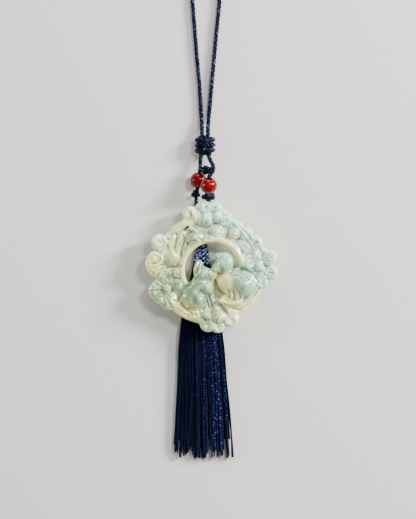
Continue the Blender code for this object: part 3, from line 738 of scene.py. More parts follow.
# Cut lines: width, depth (a negative one is a raised line), and the points they run through.
CUTS = (
    # The left animal: the ear's hollow and its root, the neck, the mouth, the foreleg and the feet.
    (0.9, 0.7, ((-4.5, 1.9), (-5.2, 0.2), (-5.7, -2.2))),
    (0.5, 0.4, ((-3.7, 1.4), (-3.8, -0.6), (-4.9, -3.4), (-6.3, -4.9))),
    (0.9, 0.2, ((-7.6, -6.6), (-5.4, -6.5), (-3.0, -5.8), (-0.6, -4.8))),
    (0.35, 0.3, ((0.4, -3.0), (-0.6, -3.3), (-1.4, -3.1))),
    (0.6, 0.4, ((-4.4, -8.6), (-2.6, -9.9), (-0.6, -9.9))),
    (0.45, 0.4, ((-8.6, -15.2), (-6.4, -15.3), (-4.2, -14.6), (-2.4, -13.2))),
    (0.4, 0.35, ((-7.4, -16.2), (-5.0, -16.0), (-2.6, -15.0))),
    (0.8, 0.35, ((-5.4, -9.2), (-3.2, -9.8), (-2.3, -11.6), (-3.0, -13.6))),
    (0.35, 0.25, ((-4.3, -10.8), (-3.3, -11.3), (-3.5, -12.4), (-4.6, -12.6))),
    (0.5, 0.5, ((-2.3, -10.6), (-1.7, -12.8), (-0.9, -15.2))),
    (0.45, 0.4, ((-1.1, -10.6), (-0.5, -12.6), (0.1, -14.8))),
    (0.6, -0.5, ((0.1, -5.6), (0.6, -7.6), (0.5, -9.8), (0.2, -12.2))),
    # The right animal: the mouth, the neck, the haunch, the legs, the raised edge of its chest.
    (0.4, 0.35, ((1.6, 3.7), (2.4, 3.2), (3.2, 3.1))),
    (0.8, 0.35, ((0.6, -1.4), (3.4, -2.5), (6.2, -2.4), (8.2, -1.2))),
    (0.5, 0.2, ((8.9, -7.6), (9.6, -9.0), (11.2, -10.0))),
    (0.5, 0.25, ((6.4, -3.6), (8.6, -3.2), (10.6, -3.8), (11.6, -5.0))),
    (0.45, 0.5, ((6.1, -8.2), (6.6, -9.8), (6.6, -11.6))),
    (0.45, 0.5, ((8.1, -9.0), (8.4, -10.6), (8.2, -12.0))),
    (0.45, 0.4, ((10.2, -9.4), (10.6, -11.0), (10.2, -12.2))),
    (0.7, -0.6, ((1.9, -4.2), (2.6, -6.6), (4.2, -8.6), (6.0, -9.8))),
    (0.35, 0.25, ((13.9, -3.6), (14.9, -4.4), (15.4, -5.6))),
    (0.35, 0.25, ((13.3, -4.4), (14.2, -5.2), (14.6, -6.4))),
    # The perch under the right animal, and the deep fold below it.
    (0.7, -0.5, ((2.4, -12.6), (5.0, -13.9), (8.2, -14.4), (11.4, -13.4))),
    (1.3, 0.8, ((2.9, -14.4), (4.6, -16.0), (5.6, -17.2))),
    (0.6, 0.4, ((8.0, -15.4), (10.6, -15.6), (13.2, -14.0))),
    # The stems and leaves in the upper left.
    (0.6, -0.5, ((-8.6, 14.2), (-6.8, 12.8), (-4.4, 12.0), (-2.6, 11.8))),
    (0.7, 0.5, ((-13.4, 12.6), (-13.2, 10.0), (-13.9, 7.0), (-13.2, 5.6))),
    (0.6, 0.45, ((-10.6, 12.0), (-10.4, 9.6), (-11.2, 7.0), (-11.6, 3.6))),
    (0.4, -0.3, ((-12.4, 14.0), (-11.6, 12.2), (-11.8, 9.8))),
    (0.5, 0.3, ((-16.4, 13.0), (-14.0, 15.6), (-11.2, 17.4))),
    (0.4, 0.25, ((-15.6, 11.4), (-13.4, 13.8), (-11.8, 15.2))),
    (0.5, 0.4, ((-9.2, 8.2), (-8.0, 9.8), (-6.2, 9.8))),
    (0.5, 0.35, ((-3.6, 9.6), (-3.0, 11.2), (-1.2, 10.6))),
    (0.5, 0.4, ((-6.2, 16.4), (-4.4, 15.2), (-2.0, 14.6), (-0.6, 15.6))),
    (0.4, -0.3, ((-7.4, 21.4), (-6.9, 19.6), (-6.6, 17.6))),
    (0.4, -0.3, ((-10.6, 19.6), (-9.4, 17.8), (-7.2, 17.0))),
    # The left flower's inner curl and the ridges that meet at it.
    (0.7, 0.4, ((-22.6, 2.4), (-22.2, 3.9), (-20.8, 4.2), (-20.2, 3.0), (-21.2, 2.3))),
    (0.6, -0.5, ((-23.4, 0.4), (-21.2, 0.7), (-19.2, 1.6), (-18.0, 3.2))),
    (0.5, 0.35, ((-22.2, -2.4), (-19.8, -1.2), (-18.4, 0.4))),
    (0.5, -0.35, ((-21.6, 8.2), (-19.4, 8.0), (-17.2, 8.8))),
    (0.4, 0.3, ((-19.4, 4.9), (-18.2, 6.6), (-16.4, 7.8))),
    # The long veins along the upper right, and the lines that cross its inner leaves.
    (0.45, 0.4, ((10.0, 15.4), (12.4, 13.4), (14.6, 10.6))),
    (0.4, 0.35, ((8.6, 14.6), (11.4, 12.2), (13.4, 9.6))),
    (0.4, -0.3, ((12.6, 14.2), (14.2, 12.2), (15.4, 10.4))),
    (0.6, 0.3, ((11.4, 4.2), (11.0, 6.4), (9.6, 9.2))),
    (0.6, 0.3, ((5.4, 10.8), (6.0, 12.4), (5.8, 14.6))),
    (0.5, -0.35, ((15.4, -1.8), (17.0, -3.4), (18.6, -6.0))),
    # The lines inside the plain rim, lower right and lower left, and the folds beside the flowers.
    (0.5, 0.3, ((17.6, -7.8), (16.0, -10.4), (13.6, -13.0), (11.0, -15.2))),
    (0.5, 0.35, ((-8.6, -18.2), (-11.2, -16.8), (-13.2, -15.0))),
    (0.4, 0.3, ((-6.0, -18.0), (-9.0, -16.2), (-11.6, -13.2))),
    (0.4, -0.3, ((-5.4, -17.0), (-8.6, -15.8), (-11.2, -12.6))),
    (0.8, 0.4, ((-10.8, -9.8), (-12.2, -11.6), (-13.2, -13.6))),
    (0.7, 0.4, ((-11.4, 0.6), (-12.4, -0.2), (-14.8, 0.2), (-17.2, -0.4))),
    (0.7, 0.4, ((12.4, -0.6), (14.8, -2.2), (16.6, -4.0))),
)

# Rings, such as eyes and curls: place, radius, width and depth of the cut.
RINGS = (
    (-0.6, -1.9, 0.95, 0.35, 0.35),
    (3.5, 3.3, 0.55, 0.3, 0.25),
    (9.6, -12.9, 0.9, 0.35, 0.35),
    (5.2, -12.9, 0.7, 0.35, 0.35),
    (7.6, -18.0, 1.1, 0.4, 0.4),
    (1.9, -17.2, 0.8, 0.35, 0.3),
    (-17.1, -2.9, 1.3, 0.4, 0.35),
    (-15.2, -2.0, 0.9, 0.35, 0.35),
    (-13.3, -4.9, 1.0, 0.35, 0.35),
    (-16.8, -8.0, 2.1, 0.4, 0.3),
    (17.6, 0.4, 2.2, 0.4, 0.25),
    (21.0, -0.6, 0.8, 0.35, 0.35),
    (19.0, 3.2, 0.7, 0.3, 0.3),
)
DIMPLES = (
    (-0.6, -1.9, 0.3, 0.35),
    (-8.7, 10.2, 0.35, 0.3),
    (-7.6, 11.2, 0.35, 0.3),
    (-6.4, 10.2, 0.35, 0.3),
    (-5.3, 11.4, 0.35, 0.3),
    (-9.3, 8.9, 0.35, 0.3),
    (-4.4, 10.2, 0.35, 0.3),
)

# The stone's colours run from icy green at the upper right, through olive and cream where it is
# thin, to a deeper green in the animals. The cream where it is thin is partly painted glow, and one
# dark zone in the sunk hollow is painted shade. Each zone has a place, a reach and one of the colours.
ICE = "#BCF2DC"
PEARL = "#F2FCCA"
CREAM = "#FFF48C"
OLIVE = "#BAC272"
SAGE = "#82AA6A"
MINT = "#8CCCA6"
LEAF = "#689E74"
DEEP = "#4A8058"
MOSS = "#64704E"
GOLD = "#FFEE66"
# Painted light laid over the zones: a warm glow, a pale glow and highlight, and shade in the grooves.
PAINTED_WARM_GLOW = "#FFF27E"
PAINTED_PALE_LIGHT = "#F6FCD0"
PAINTED_GROOVE_SHADE = "#54784C"
STONE_BASE = "#C6CFB2"
STONE_CLOUD = "#EEF0E0"
STONE_ZONES = (
    (0.0, 20.0, 5.0, ICE),
    (5.0, 18.0, 3.5, ICE),
    (-8.3, 20.4, 2.6, PEARL),
    (-8.6, 17.6, 1.6, CREAM),
    (-6.4, 18.4, 1.6, PEARL),
    (2.0, 13.3, 2.4, PEARL),
    (9.0, 14.0, 4.0, ICE),
    (15.0, 9.0, 4.0, ICE),
    (20.0, 2.0, 5.0, ICE),
    (17.0, -6.0, 4.0, ICE),
    (11.5, 5.0, 2.5, PEARL),
    (7.0, 10.0, 2.0, CREAM),
    (-3.0, 12.5, 2.5, SAGE),
    (-5.6, 10.8, 1.5, MOSS),
    (-7.0, 10.5, 2.8, SAGE),
    (-12.0, 12.5, 3.0, OLIVE),
    (-13.5, 15.5, 2.5, PEARL),
    (-14.5, 8.5, 1.8, CREAM),
    (-18.5, 9.5, 3.2, PEARL),
    (-15.0, 3.8, 3.0, OLIVE),
    (-21.5, 1.8, 3.0, CREAM),
    (-20.5, -2.0, 2.2, CREAM),
    (-16.5, -3.0, 3.4, SAGE),
    (-20.6, -9.6, 3.4, SAGE),
    (-17.5, -8.5, 3.5, SAGE),
    (-16.0, -13.5, 3.0, SAGE),
    (-11.5, -8.0, 2.0, SAGE),
    (-6.5, -11.0, 4.2, DEEP),
    (-3.0, -7.6, 2.6, LEAF),
    (-3.2, -2.4, 3.2, DEEP),
    (0.8, -2.0, 1.0, CREAM),
    (5.0, 2.4, 3.2, MINT),
    (5.0, -1.0, 2.0, SAGE),
    (12.4, -6.4, 4.2, LEAF),
    (12.8, -8.2, 2.0, DEEP),
    (8.8, -4.0, 2.0, SAGE),
    # The cream and warm zones on the right animal's chest are partly painted glow through its thin
    # raised edge.
    (4.2, -6.2, 3.0, CREAM),
    (4.6, -6.8, 1.6, PAINTED_WARM_GLOW),
    (5.4, -8.6, 1.6, CREAM),
    (8.2, -10.6, 1.6, CREAM),
    # Painted shade in the sunk hollow beside the right animal's chest.
    (1.9, -9.4, 1.5, MOSS),
    (-9.5, -16.5, 3.2, GOLD),
    (-12.8, -14.2, 2.4, CREAM),
    (-3.6, -17.0, 2.6, OLIVE),
    (4.0, -15.6, 1.7, OLIVE),
    (-0.8, -20.6, 3.4, SAGE),
    (1.4, -23.6, 1.6, PEARL),
    (7.2, -19.0, 2.8, PEARL),
    (9.0, -14.5, 2.4, CREAM),
    (14.0, -12.0, 3.2, PEARL),
)

# How much of each painted light or shade is laid over the zone colours: painted glow on petal edges
# and thin low stone, a warm tint on the band and rim that is partly the stone's tone and partly painted
# glow, painted shade in grooves and painted highlight on ridges. The passes and gains tell grooves from
# ridges, finely and then broadly.
EDGE_GLOW_SHARE = 0.55
THIN_GLOW_SHARE = 0.75
WARM_GLOW_SHARE = 0.9
RIM_GLOW_SHARE = 0.85
GROOVE_SHADE_SHARE = 0.8
RIDGE_HIGHLIGHT_SHARE = 0.4
FINE_PASSES = 4
FINE_GAIN = 9.0
FINE_SHARE = 0.6
BROAD_PASSES = 14
BROAD_GAIN = 3.0


def on_plaque(u, v, height=0.0):
    """A point of the carving's design, in the ornament's frame."""
    return Vector((u * DESIGN, PLAQUE_Y + v * DESIGN, BACK_HEIGHT + height * DESIGN))


def add_ellipsoid(bm, centre, radii, turn=0.0, flatness=1.0, around=32, rings=16):
    """An ellipsoid turned about +Z. A flatness under 1 gives it a flatter top and steeper sides."""
    ball = bmesh.ops.create_uvsphere(bm, u_segments=around, v_segments=rings, radius=1.0)
    for vert in ball["verts"]:
        vert.co.z = math.copysign(abs(vert.co.z) ** flatness, vert.co.z)
    place = (
        Matrix.Translation(centre)
        @ Matrix.Rotation(math.radians(turn), 4, "Z")
        @ Matrix.Diagonal((*radii, 1.0))
    )
    bmesh.ops.transform(bm, matrix=place, verts=ball["verts"])


def add_ring(bm, centre, radius, thickness, start=0.0, sweep=2 * math.pi, around=96, section=16):
    """A round section carried round the centre, lying flat: a torus, or an arc with flat ends."""
    closed = math.isclose(sweep, 2 * math.pi)
    rings = []
    for i in range(around):
        angle = start + sweep * i / (around if closed else around - 1)
        outward = Vector((math.cos(angle), math.sin(angle), 0.0))
        ring = []
        for k in range(section):
            tilt = 2 * math.pi * k / section
            reach = radius + thickness * math.cos(tilt)
            point = centre + outward * reach + Vector((0.0, 0.0, thickness * math.sin(tilt)))
            ring.append(bm.verts.new(point))
        rings.append(ring)
    for ring, following in zip(rings, rings[1:] + rings[:1] if closed else rings[1:]):
        for k in range(section):
            n = (k + 1) % section
            bm.faces.new((ring[k], following[k], following[n], ring[n]))
    if not closed:
        bm.faces.new(rings[0])
        bm.faces.new(reversed(rings[-1]))


def scratch_object(name, bm):
    """A form that only shapes another one, and is removed afterwards."""
    mesh = bpy.data.meshes.new(name)
    bm.to_mesh(mesh)
    bm.free()
    thing = bpy.data.objects.new(name, mesh)
    bpy.context.scene.collection.objects.link(thing)
    return thing


def prism(name, outline, low, high):
    """A flat outline of points raised between two heights, used as a cutter."""
    bm = bmesh.new()
    face = bm.faces.new([bm.verts.new((x, y, low)) for x, y in outline])
    raised = bmesh.ops.extrude_face_region(bm, geom=[face])
    top = [item for item in raised["geom"] if isinstance(item, bmesh.types.BMVert)]
    bmesh.ops.translate(bm, verts=top, vec=(0.0, 0.0, high - low))
    bmesh.ops.recalc_face_normals(bm, faces=bm.faces)
    return scratch_object(name, bm)


def fuse(thing, voxel):
    added = thing.modifiers.new("fuse", "REMESH")
    added.mode = "VOXEL"
    added.voxel_size = voxel * DESIGN


def combine(thing, operation, other):
    added = thing.modifiers.new(other.name, "BOOLEAN")
    added.operation = operation
    added.object = other


def add_post(bm, centre, radius, depth, segments):
    """An upright round post."""
    bmesh.ops.create_cone(
        bm,
        cap_ends=True,
        segments=segments,
        radius1=radius,
        radius2=radius,
        depth=depth,
        matrix=Matrix.Translation(centre),
    )


def gate_arc():
    """The angle at which the gate's round edge starts, and how far it runs from sill to sill."""
    first, last = (
        math.atan2(corner[1] - GATE_CENTRE[1], corner[0] - GATE_CENTRE[0])
        for corner in (SILL_RIGHT, SILL_LEFT)
    )
    return first, (last - first) % (2 * math.pi)


def disc_with_petals():
    """The disc, its round rim, the band round the gate and the petals, fused."""
    bm = bmesh.new()
    ground_depth = GROUND_HEIGHT - DISC_FOOT
    ground_radius = (DISC_RADIUS - RIM_RADIUS) * DESIGN
    ground_middle = on_plaque(*DISC_CENTRE, DISC_FOOT + ground_depth / 2)
    add_post(bm, ground_middle, ground_radius, ground_depth * DESIGN, 96)
    add_ring(bm, on_plaque(*DISC_CENTRE, EDGE_HEIGHT), ground_radius, RIM_RADIUS * DESIGN)
    band_reach = (GATE_RADIUS + GATE_BAND) * DESIGN
    band_centre = on_plaque(*GATE_CENTRE, GROUND_HEIGHT)
    add_ring(bm, band_centre, band_reach, GATE_BAND * DESIGN, *gate_arc())
    for u, v, half_width, half_length, turn, top, *_ in PETALS:
        radii = (half_width * DESIGN, half_length * DESIGN, (top - EDGE_HEIGHT) * DESIGN)
        add_ellipsoid(bm, on_plaque(u, v, EDGE_HEIGHT), radii, turn, FORM_FLATNESS)
    stone = scratch_object("stone", bm)
    fuse(stone, ROUGH_VOXEL)
    return stone


def seated_animals():
    """The two animals, each fused from its body, head, ears and feet."""
    bm = bmesh.new()
    for u, v, a, b, c, turn, height in ANIMALS:
        add_ellipsoid(bm, on_plaque(u, v, height), (a * DESIGN, b * DESIGN, c * DESIGN), turn)
    animals = scratch_object("animals", bm)
    fuse(animals, ROUGH_VOXEL)
    return animals


def gate_cutter(low, high):
    first, sweep = gate_arc()
    centre = on_plaque(*GATE_CENTRE)
    reach = GATE_RADIUS * DESIGN
    opening = []
    for i in range(GATE_STEPS + 1):
        angle = first + sweep * i / GATE_STEPS
        opening.append((centre.x + reach * math.cos(angle), centre.y + reach * math.sin(angle)))
    return prism("gate", opening, low, high)


def notch_cutter(high):
    bm = bmesh.new()
    for u, v, reach in NOTCHES:
        add_post(bm, on_plaque(u, v), reach * DESIGN, 2 * high, 24)
    return scratch_object("notches", bm)


def back_cutter():
    """A block under the stone, whose top cuts its flat back."""
    signs = ((-1, -1), (1, -1), (1, 1), (-1, 1))
    slab = [(x * PLAQUE_WIDTH, PLAQUE_Y + y * PLAQUE_WIDTH) for x, y in signs]
    return prism("back", slab, BACK_HEIGHT - PLAQUE_WIDTH, BACK_HEIGHT)


def hollow_cutter(floor, high):
    places = [on_plaque(u, v) for u, v in HOLLOW_OUTLINE]
    return prism("hollow", [(place.x, place.y) for place in places], floor, high)


def slot_cutter(floor, high):
    slant = Matrix.Rotation(math.radians(SLOT_TURN), 2)
    oval = []
    for i in range(SLOT_STEPS):
        angle = 2 * math.pi * i / SLOT_STEPS
        reach = slant @ Vector(
            (SLOT_HALF_LENGTH * math.cos(angle), SLOT_HALF_WIDTH * math.sin(angle))
        )
        oval.append(tuple(on_plaque(SLOT_PLACE[0] + reach.x, SLOT_PLACE[1] + reach.y).xy))
    return prism("slot", oval, floor, high)


def tunnel_cutter():
    """A ring half sunk in the stone's back, which bores the hanger cord's curved tunnel."""
    bm = bmesh.new()
    add_ring(bm, Vector(), TUNNEL_SPAN / 2, TUNNEL_BORE / 2, around=48)
    mouth = Vector(((LEFT_KNOT.x + RIGHT_KNOT.x) / 2, TUNNEL_Y, BACK_HEIGHT))
    place = Matrix.Translation(mouth) @ Matrix.Rotation(math.pi / 2, 4, "X")
    bmesh.ops.transform(bm, matrix=place, verts=bm.verts)
    return scratch_object("tunnel", bm)


def fused_stone():
    """The plaque's forms as one closed fine mesh, before its lines are carved."""
    low = on_plaque(0, 0, CUT_BELOW).z
    high = on_plaque(0, 0, CUT_ABOVE).z
    floor = on_plaque(0, 0, HOLLOW_FLOOR).z
    stone = disc_with_petals()
    helpers = []
    for operation, helper in (
        ("DIFFERENCE", gate_cutter(low, high)),
        ("DIFFERENCE", notch_cutter(high)),
        ("UNION", seated_animals()),
        ("DIFFERENCE", back_cutter()),
        ("DIFFERENCE", hollow_cutter(floor, high)),
        ("DIFFERENCE", slot_cutter(floor, high)),
        ("DIFFERENCE", tunnel_cutter()),
    ):
        combine(stone, operation, helper)
        helpers.append(helper)
    fuse(stone, FINE_VOXEL)

    bpy.context.view_layer.update()
    evaluated = stone.evaluated_get(bpy.context.evaluated_depsgraph_get())
    mesh = bpy.data.meshes.new_from_object(evaluated)
    for thing in (stone, *helpers):
        bpy.data.objects.remove(thing)
    return mesh


def smooth_step(values, low, high):
    t = np.clip((values - low) / (high - low), 0.0, 1.0)
    return t * t * (3 - 2 * t)


def line_distance(u, v, points):
    """How far each place is from a line through the points, in design millimetres."""
    found = np.full(u.shape, 1e9)
    curve = flowing([Vector((*point, 0.0)) for point in points], 0.5)
    for a, b in zip(curve, curve[1:]):
        run = b - a
        share = ((u - a.x) * run.x + (v - a.y) * run.y) / max(run.length_squared, 1e-9)
        share = np.clip(share, 0.0, 1.0)
        gap = np.hypot(u - a.x - share * run.x, v - a.y - share * run.y)
        found = np.minimum(found, gap)
    return found


def petal_cuts(u, v, top_of_all):
    """How deep the petals are cut at each place, how near a petal's edge it is, and their top there.

    The highest petal at a place owns it, and nothing is cut where an animal lies over the petals.
    """
    depth = np.zeros(u.shape)
    edge = np.zeros(u.shape)
    highest = np.full(u.shape, -1.0)
    for pu, pv, half_width, half_length, turn, top, kind, heading, number in PETALS:
        c, s = math.cos(math.radians(turn)), math.sin(math.radians(turn))
        x = ((u - pu) * c + (v - pv) * s) / half_width
        y = (-(u - pu) * s + (v - pv) * c) / half_length
        r = np.hypot(x, y)
        inside = r < 1.0
        dome = np.sqrt(np.clip(1.0 - r * r, 0.0, 1.0)) ** FORM_FLATNESS
        height = np.where(inside, EDGE_HEIGHT + (top - EDGE_HEIGHT) * dome, -1.0)
        tip = math.radians(heading)
        across = -(u - pu) * math.sin(tip) + (v - pv) * math.cos(tip)
        along = (u - pu) * math.cos(tip) + (v - pv) * math.sin(tip)
        size = min(half_width, half_length)
        polar = np.arctan2(v - pv, u - pu)
        cut = np.zeros(u.shape)
        wander = 0.6 * np.sin(1.9 * u + 2.7 * v)
        veins = np.cos(np.arctan2(across, along + 1.3 * size) * number * 3.2 + wander)
        veins = np.clip(veins, 0.0, 1.0) ** 3 * smooth_step(along + size, 0.1, 0.8)
        if kind == "petal":
            reach = np.hypot(across, along + 0.15 * size) / size
            cut = CUP_DEPTH * (1 - smooth_step(reach, 0.25, 0.8))
            cut += VEIN_DEPTH * veins * (r < LIP_PLACE)
            cut -= LIP_HEIGHT * (1 - smooth_step(np.abs(r - LIP_PLACE), 0.03, 0.14))
        elif kind == "veins":
            cut = (FLAT_DEPTH + FLAT_VEIN_DEPTH * veins) * (1 - smooth_step(r, 0.8, 0.95))
        elif kind == "ribs":
            wave = 0.5 + 0.5 * np.cos(across / size * math.pi * number)
            cut = RIB_DEPTH * wave**3 * (1 - smooth_step(r, 0.7, 0.95))
        elif kind == "curl":
            phase = (polar - math.radians(heading)) / (2 * math.pi)
            wave = 0.5 + 0.5 * np.cos(2 * math.pi * (r * (number + 0.6) - phase))
            cut = CURL_DEPTH * wave**2 * smooth_step(r, 0.08, 0.25)
            cut *= 1 - smooth_step(r, 0.86, 1.0)
        owned = inside & (height > highest)
        depth = np.where(owned, cut, depth)
        edge = np.where(owned, smooth_step(r, 0.76, 0.94), edge)
        crease = (1 - smooth_step(np.abs(r - 1.03) * size, 0.0, 0.4)) * CREASE_DEPTH
        beside = (~owned) | (r > 0.99)
        depth = np.where(beside & (r < 1.3) & (height <= highest), np.maximum(depth, crease), depth)
        highest = np.maximum(highest, height)
    hidden = top_of_all > highest + 0.5
    return np.where(hidden, 0.0, depth), np.where(hidden, 0.0, edge), highest


def neighbour_mean(mesh):
    """A function that gives each point the mean of the values at the points next to it."""
    count = len(mesh.vertices)
    ends = np.empty(len(mesh.edges) * 2, dtype=np.int64)
    mesh.edges.foreach_get("vertices", ends)
    first, last = ends.reshape(-1, 2).T
    joined = np.bincount(first, minlength=count) + np.bincount(last, minlength=count)

    def eased(values):
        total = np.bincount(first, weights=values[last], minlength=count)
        total += np.bincount(last, weights=values[first], minlength=count)
        return total / joined

    return eased


def all_cuts(u, v, height):
    """How deep the stone is cut at each place, with the petals' edges and tops."""
    depth, edge, petal_top = petal_cuts(u, v, height)
    for width, cut, points in CUTS:
        shape = 1 - smooth_step(line_distance(u, v, points), 0.15 * width, width)
        if cut > 0:
            depth = np.maximum(depth, cut * shape)
        else:
            depth = depth + cut * shape
    for cu, cv, radius, width, cut in RINGS:
        gap = np.abs(np.hypot(u - cu, v - cv) - radius)
        depth = np.maximum(depth, cut * (1 - smooth_step(gap, 0.1 * width, width)))
    for cu, cv, radius, cut in DIMPLES:
        gap = np.hypot(u - cu, v - cv)
        depth = np.maximum(depth, cut * (1 - smooth_step(gap, 0.3 * radius, 1.3 * radius)))
    sway = SWAY_DEPTH * (np.sin(1.3 * u + 0.7 * v) + np.sin(0.9 * v - 1.7 * u + 2.0))
    chatter = np.sin(4.1 * u + 2.3 * np.sin(1.1 * v)) * np.sin(3.7 * v + 2.9 * np.sin(0.9 * u))
    calm_top = 1 - smooth_step(height, 5.0, 5.8)
    return depth + sway * (1 - edge) + TOOL_DEPTH * chatter * calm_top, edge, petal_top


def hollowness(level, eased):
    """From -1 on a ridge to 1 in a groove, from how each place lies against what is round it."""
    calm = level.copy()
    for _ in range(FINE_PASSES):
        calm = eased(calm)
    fine = np.clip((calm - level) * FINE_GAIN, -1.0, 1.0)
    for _ in range(BROAD_PASSES):
        calm = eased(calm)
    return np.clip((calm - level) * BROAD_GAIN + FINE_SHARE * fine, -1.0, 1.0)


def warm_glow_share(u, v, petal_top):
    """How warm the stone is along the gate's band above the sill and on the lower bare rim: partly its
    own tone, partly painted glow of light through the thin stone.
    """
    gate_gap = np.hypot(u - GATE_CENTRE[0], v - GATE_CENTRE[1]) - GATE_RADIUS
    above_sill = smooth_step(v - (-3.0 + 0.32 * u), 0.0, 1.5)
    warm = (1 - smooth_step(gate_gap, 0.2, 2.2)) * smooth_step(gate_gap, -0.6, -0.1) * above_sill
    rim_gap = DISC_RADIUS - np.hypot(u - DISC_CENTRE[0], v - DISC_CENTRE[1])
    rim = (petal_top < 0) * (1 - smooth_step(rim_gap, 0.2, 2.0)) * smooth_step(-v, 2.0, 8.0)
    return np.maximum(warm, RIM_GLOW_SHARE * rim)


def stone_colours(u, v, level, edge, petal_top, hollow):
    """The stone's colour at each point: its zones, then painted glow on thin edges and a warm tint,
    painted shade in grooves and painted highlight on ridges.
    """
    total = np.full(len(u), 0.02)
    colour = np.outer(total, linear(STONE_BASE)[:3])
    for zu, zv, reach, tint in STONE_ZONES:
        weight = np.exp(-((u - zu) ** 2 + (v - zv) ** 2) / reach**2)
        colour += np.outer(weight, linear(tint)[:3])
        total = total + weight
    colour /= total[:, None]
    low = smooth_step(level, 0.05, 0.3) * (1 - smooth_step(level, 1.2, 3.2))
    for tint, share in (
        # Painted glow of light through the petal edges and the thin low stone.
        (PAINTED_PALE_LIGHT, np.maximum(EDGE_GLOW_SHARE * edge, THIN_GLOW_SHARE * low)),
        # A warm tint, partly the stone's own tone and partly painted glow.
        (PAINTED_WARM_GLOW, WARM_GLOW_SHARE * warm_glow_share(u, v, petal_top)),
        # Painted shade in the grooves.
        (PAINTED_GROOVE_SHADE, GROOVE_SHADE_SHARE * np.clip(hollow, 0.0, 1.0)),
        # Painted highlight on the ridges.
        (PAINTED_PALE_LIGHT, RIDGE_HIGHLIGHT_SHARE * np.clip(-hollow, 0.0, 1.0)),
    ):
        colour += (np.array(linear(tint)[:3]) - colour) * share[:, None]
    return np.clip(colour, 0, 1)


def carve(mesh):
    """Wear the fused forms smooth, cut the lines into them, and store the colour at each point, painted
    light and shade included.
    """
    eased = neighbour_mean(mesh)
    place = np.empty(len(mesh.vertices) * 3)
    mesh.vertices.foreach_get("co", place)
    place = place.reshape(-1, 3)
    normal = np.empty(place.size)
    mesh.vertex_normals.foreach_get("vector", normal)
    face = smooth_step(normal.reshape(-1, 3)[:, 2], 0.15, 0.55)

    u = place[:, 0] / DESIGN
    v = (place[:, 1] - PLAQUE_Y) / DESIGN
    height = (place[:, 2] - BACK_HEIGHT) / DESIGN
    wear = WORN_SHARE * smooth_step(height, 0.3, 1.2)
    wear *= smooth_step(np.hypot(u - SLOT_PLACE[0], v - SLOT_PLACE[1]), 1.8, 2.6)
    for _ in range(WORN_PASSES):
        for axis in range(3):
            place[:, axis] += wear * (eased(place[:, axis]) - place[:, axis])
    depth, edge, petal_top = all_cuts(u, v, height)
    place[:, 2] -= face * depth * DESIGN
    polish = POLISHED_SHARE * (height > POLISHED_ABOVE)
    for axis in range(3):
        place[:, axis] += polish * (eased(place[:, axis]) - place[:, axis])
    mesh.vertices.foreach_set("co", place.ravel())

    level = (place[:, 2] - BACK_HEIGHT) / DESIGN
    colour = stone_colours(u, v, level, edge, petal_top, hollowness(level, eased))
    layer = mesh.color_attributes.new("stone_colour_and_light", "FLOAT_COLOR", "POINT")
    layer.data.foreach_set("color", np.c_[colour, np.ones(len(u))].ravel())


# Nephrite jade, ground and polished by hand: light sinks a little way in and spreads, so thin edges
# glow, and the polish leaves a hard wet gloss. Faint clouds and fine pits keep it from looking cast,
# and the grinding wheel's strokes leave broad, very shallow waves.
CLOUD_SIZE = 3.03 * MM
STROKE_SIZE = 2.22 * MM
PIT_SIZE = 0.91 * MM
jade, tree, shader = new_finish("Polished nephrite jade")
coords = add_node(tree, "ShaderNodeTexCoord")
stone_colour_and_light = add_node(tree, "ShaderNodeAttribute", attribute_name="stone_colour_and_light")
clouds = add_node(
    tree,
    "ShaderNodeTexNoise",
    {
        "Vector": coords.outputs["Object"],
        "Scale": 1 / CLOUD_SIZE,
        "Detail": 4.0,
        "Distortion": 0.8,
    },
)
cloud_share = add_node(
    tree,
    "ShaderNodeMapRange",
    {"Value": clouds.outputs["Fac"], "From Min": 0.35, "From Max": 0.7, "To Min": 0.0, "To Max": 0.2},
)
clouded = add_node(
    tree,
    "ShaderNodeMix",
    {0: cloud_share.outputs[0], 6: stone_colour_and_light.outputs["Color"], 7: linear(STONE_CLOUD)},
    data_type="RGBA",
)
pits = add_node(
    tree,
    "ShaderNodeTexNoise",
    {"Vector": coords.outputs["Object"], "Scale": 1 / PIT_SIZE, "Detail": 3.0, "Roughness": 0.6},
)
worn = add_node(
    tree,
    "ShaderNodeMapRange",
    {"Value": pits.outputs["Fac"], "To Min": 0.03, "To Max": 0.1},
)
strokes = add_node(
    tree,
    "ShaderNodeTexNoise",
    {"Vector": coords.outputs["Object"], "Scale": 1 / STROKE_SIZE, "Detail": 2.0, "Roughness": 0.5},
)
waved = add_node(
    tree,
    "ShaderNodeBump",
    {"Height": strokes.outputs["Fac"], "Strength": 0.22, "Distance": 0.4 * MM},
)
bump = add_node(
    tree,
    "ShaderNodeBump",
    {
        "Height": pits.outputs["Fac"],
        "Strength": 0.05,
        "Distance": 0.08 * MM,
        "Normal": waved.outputs["Normal"],
    },
)
tree.links.new(clouded.outputs[2], shader.inputs["Base Color"])
tree.links.new(worn.outputs[0], shader.inputs["Roughness"])
tree.links.new(bump.outputs["Normal"], shader.inputs["Normal"])
shader.inputs["IOR"].default_value = 1.61
shader.inputs["Subsurface Weight"].default_value = 0.8
shader.inputs["Subsurface Radius"].default_value = (0.95, 1.0, 0.75)
shader.inputs["Subsurface Scale"].default_value = 1.5 * MM
shader.inputs["Coat Weight"].default_value = 1.0
shader.inputs["Coat IOR"].default_value = 1.7
shader.inputs["Coat Roughness"].default_value = 0.04

stone_mesh = fused_stone()
stone_mesh.name = "carved_jade"
carve(stone_mesh)
stone_mesh.materials.clear()
stone_mesh.materials.append(jade)
stone_mesh.shade_smooth()
carved_jade = bpy.data.objects.new("carved_jade", stone_mesh)
bpy.context.scene.collection.objects.link(carved_jade)
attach(carved_jade, "root")
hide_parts("jade_plaque")

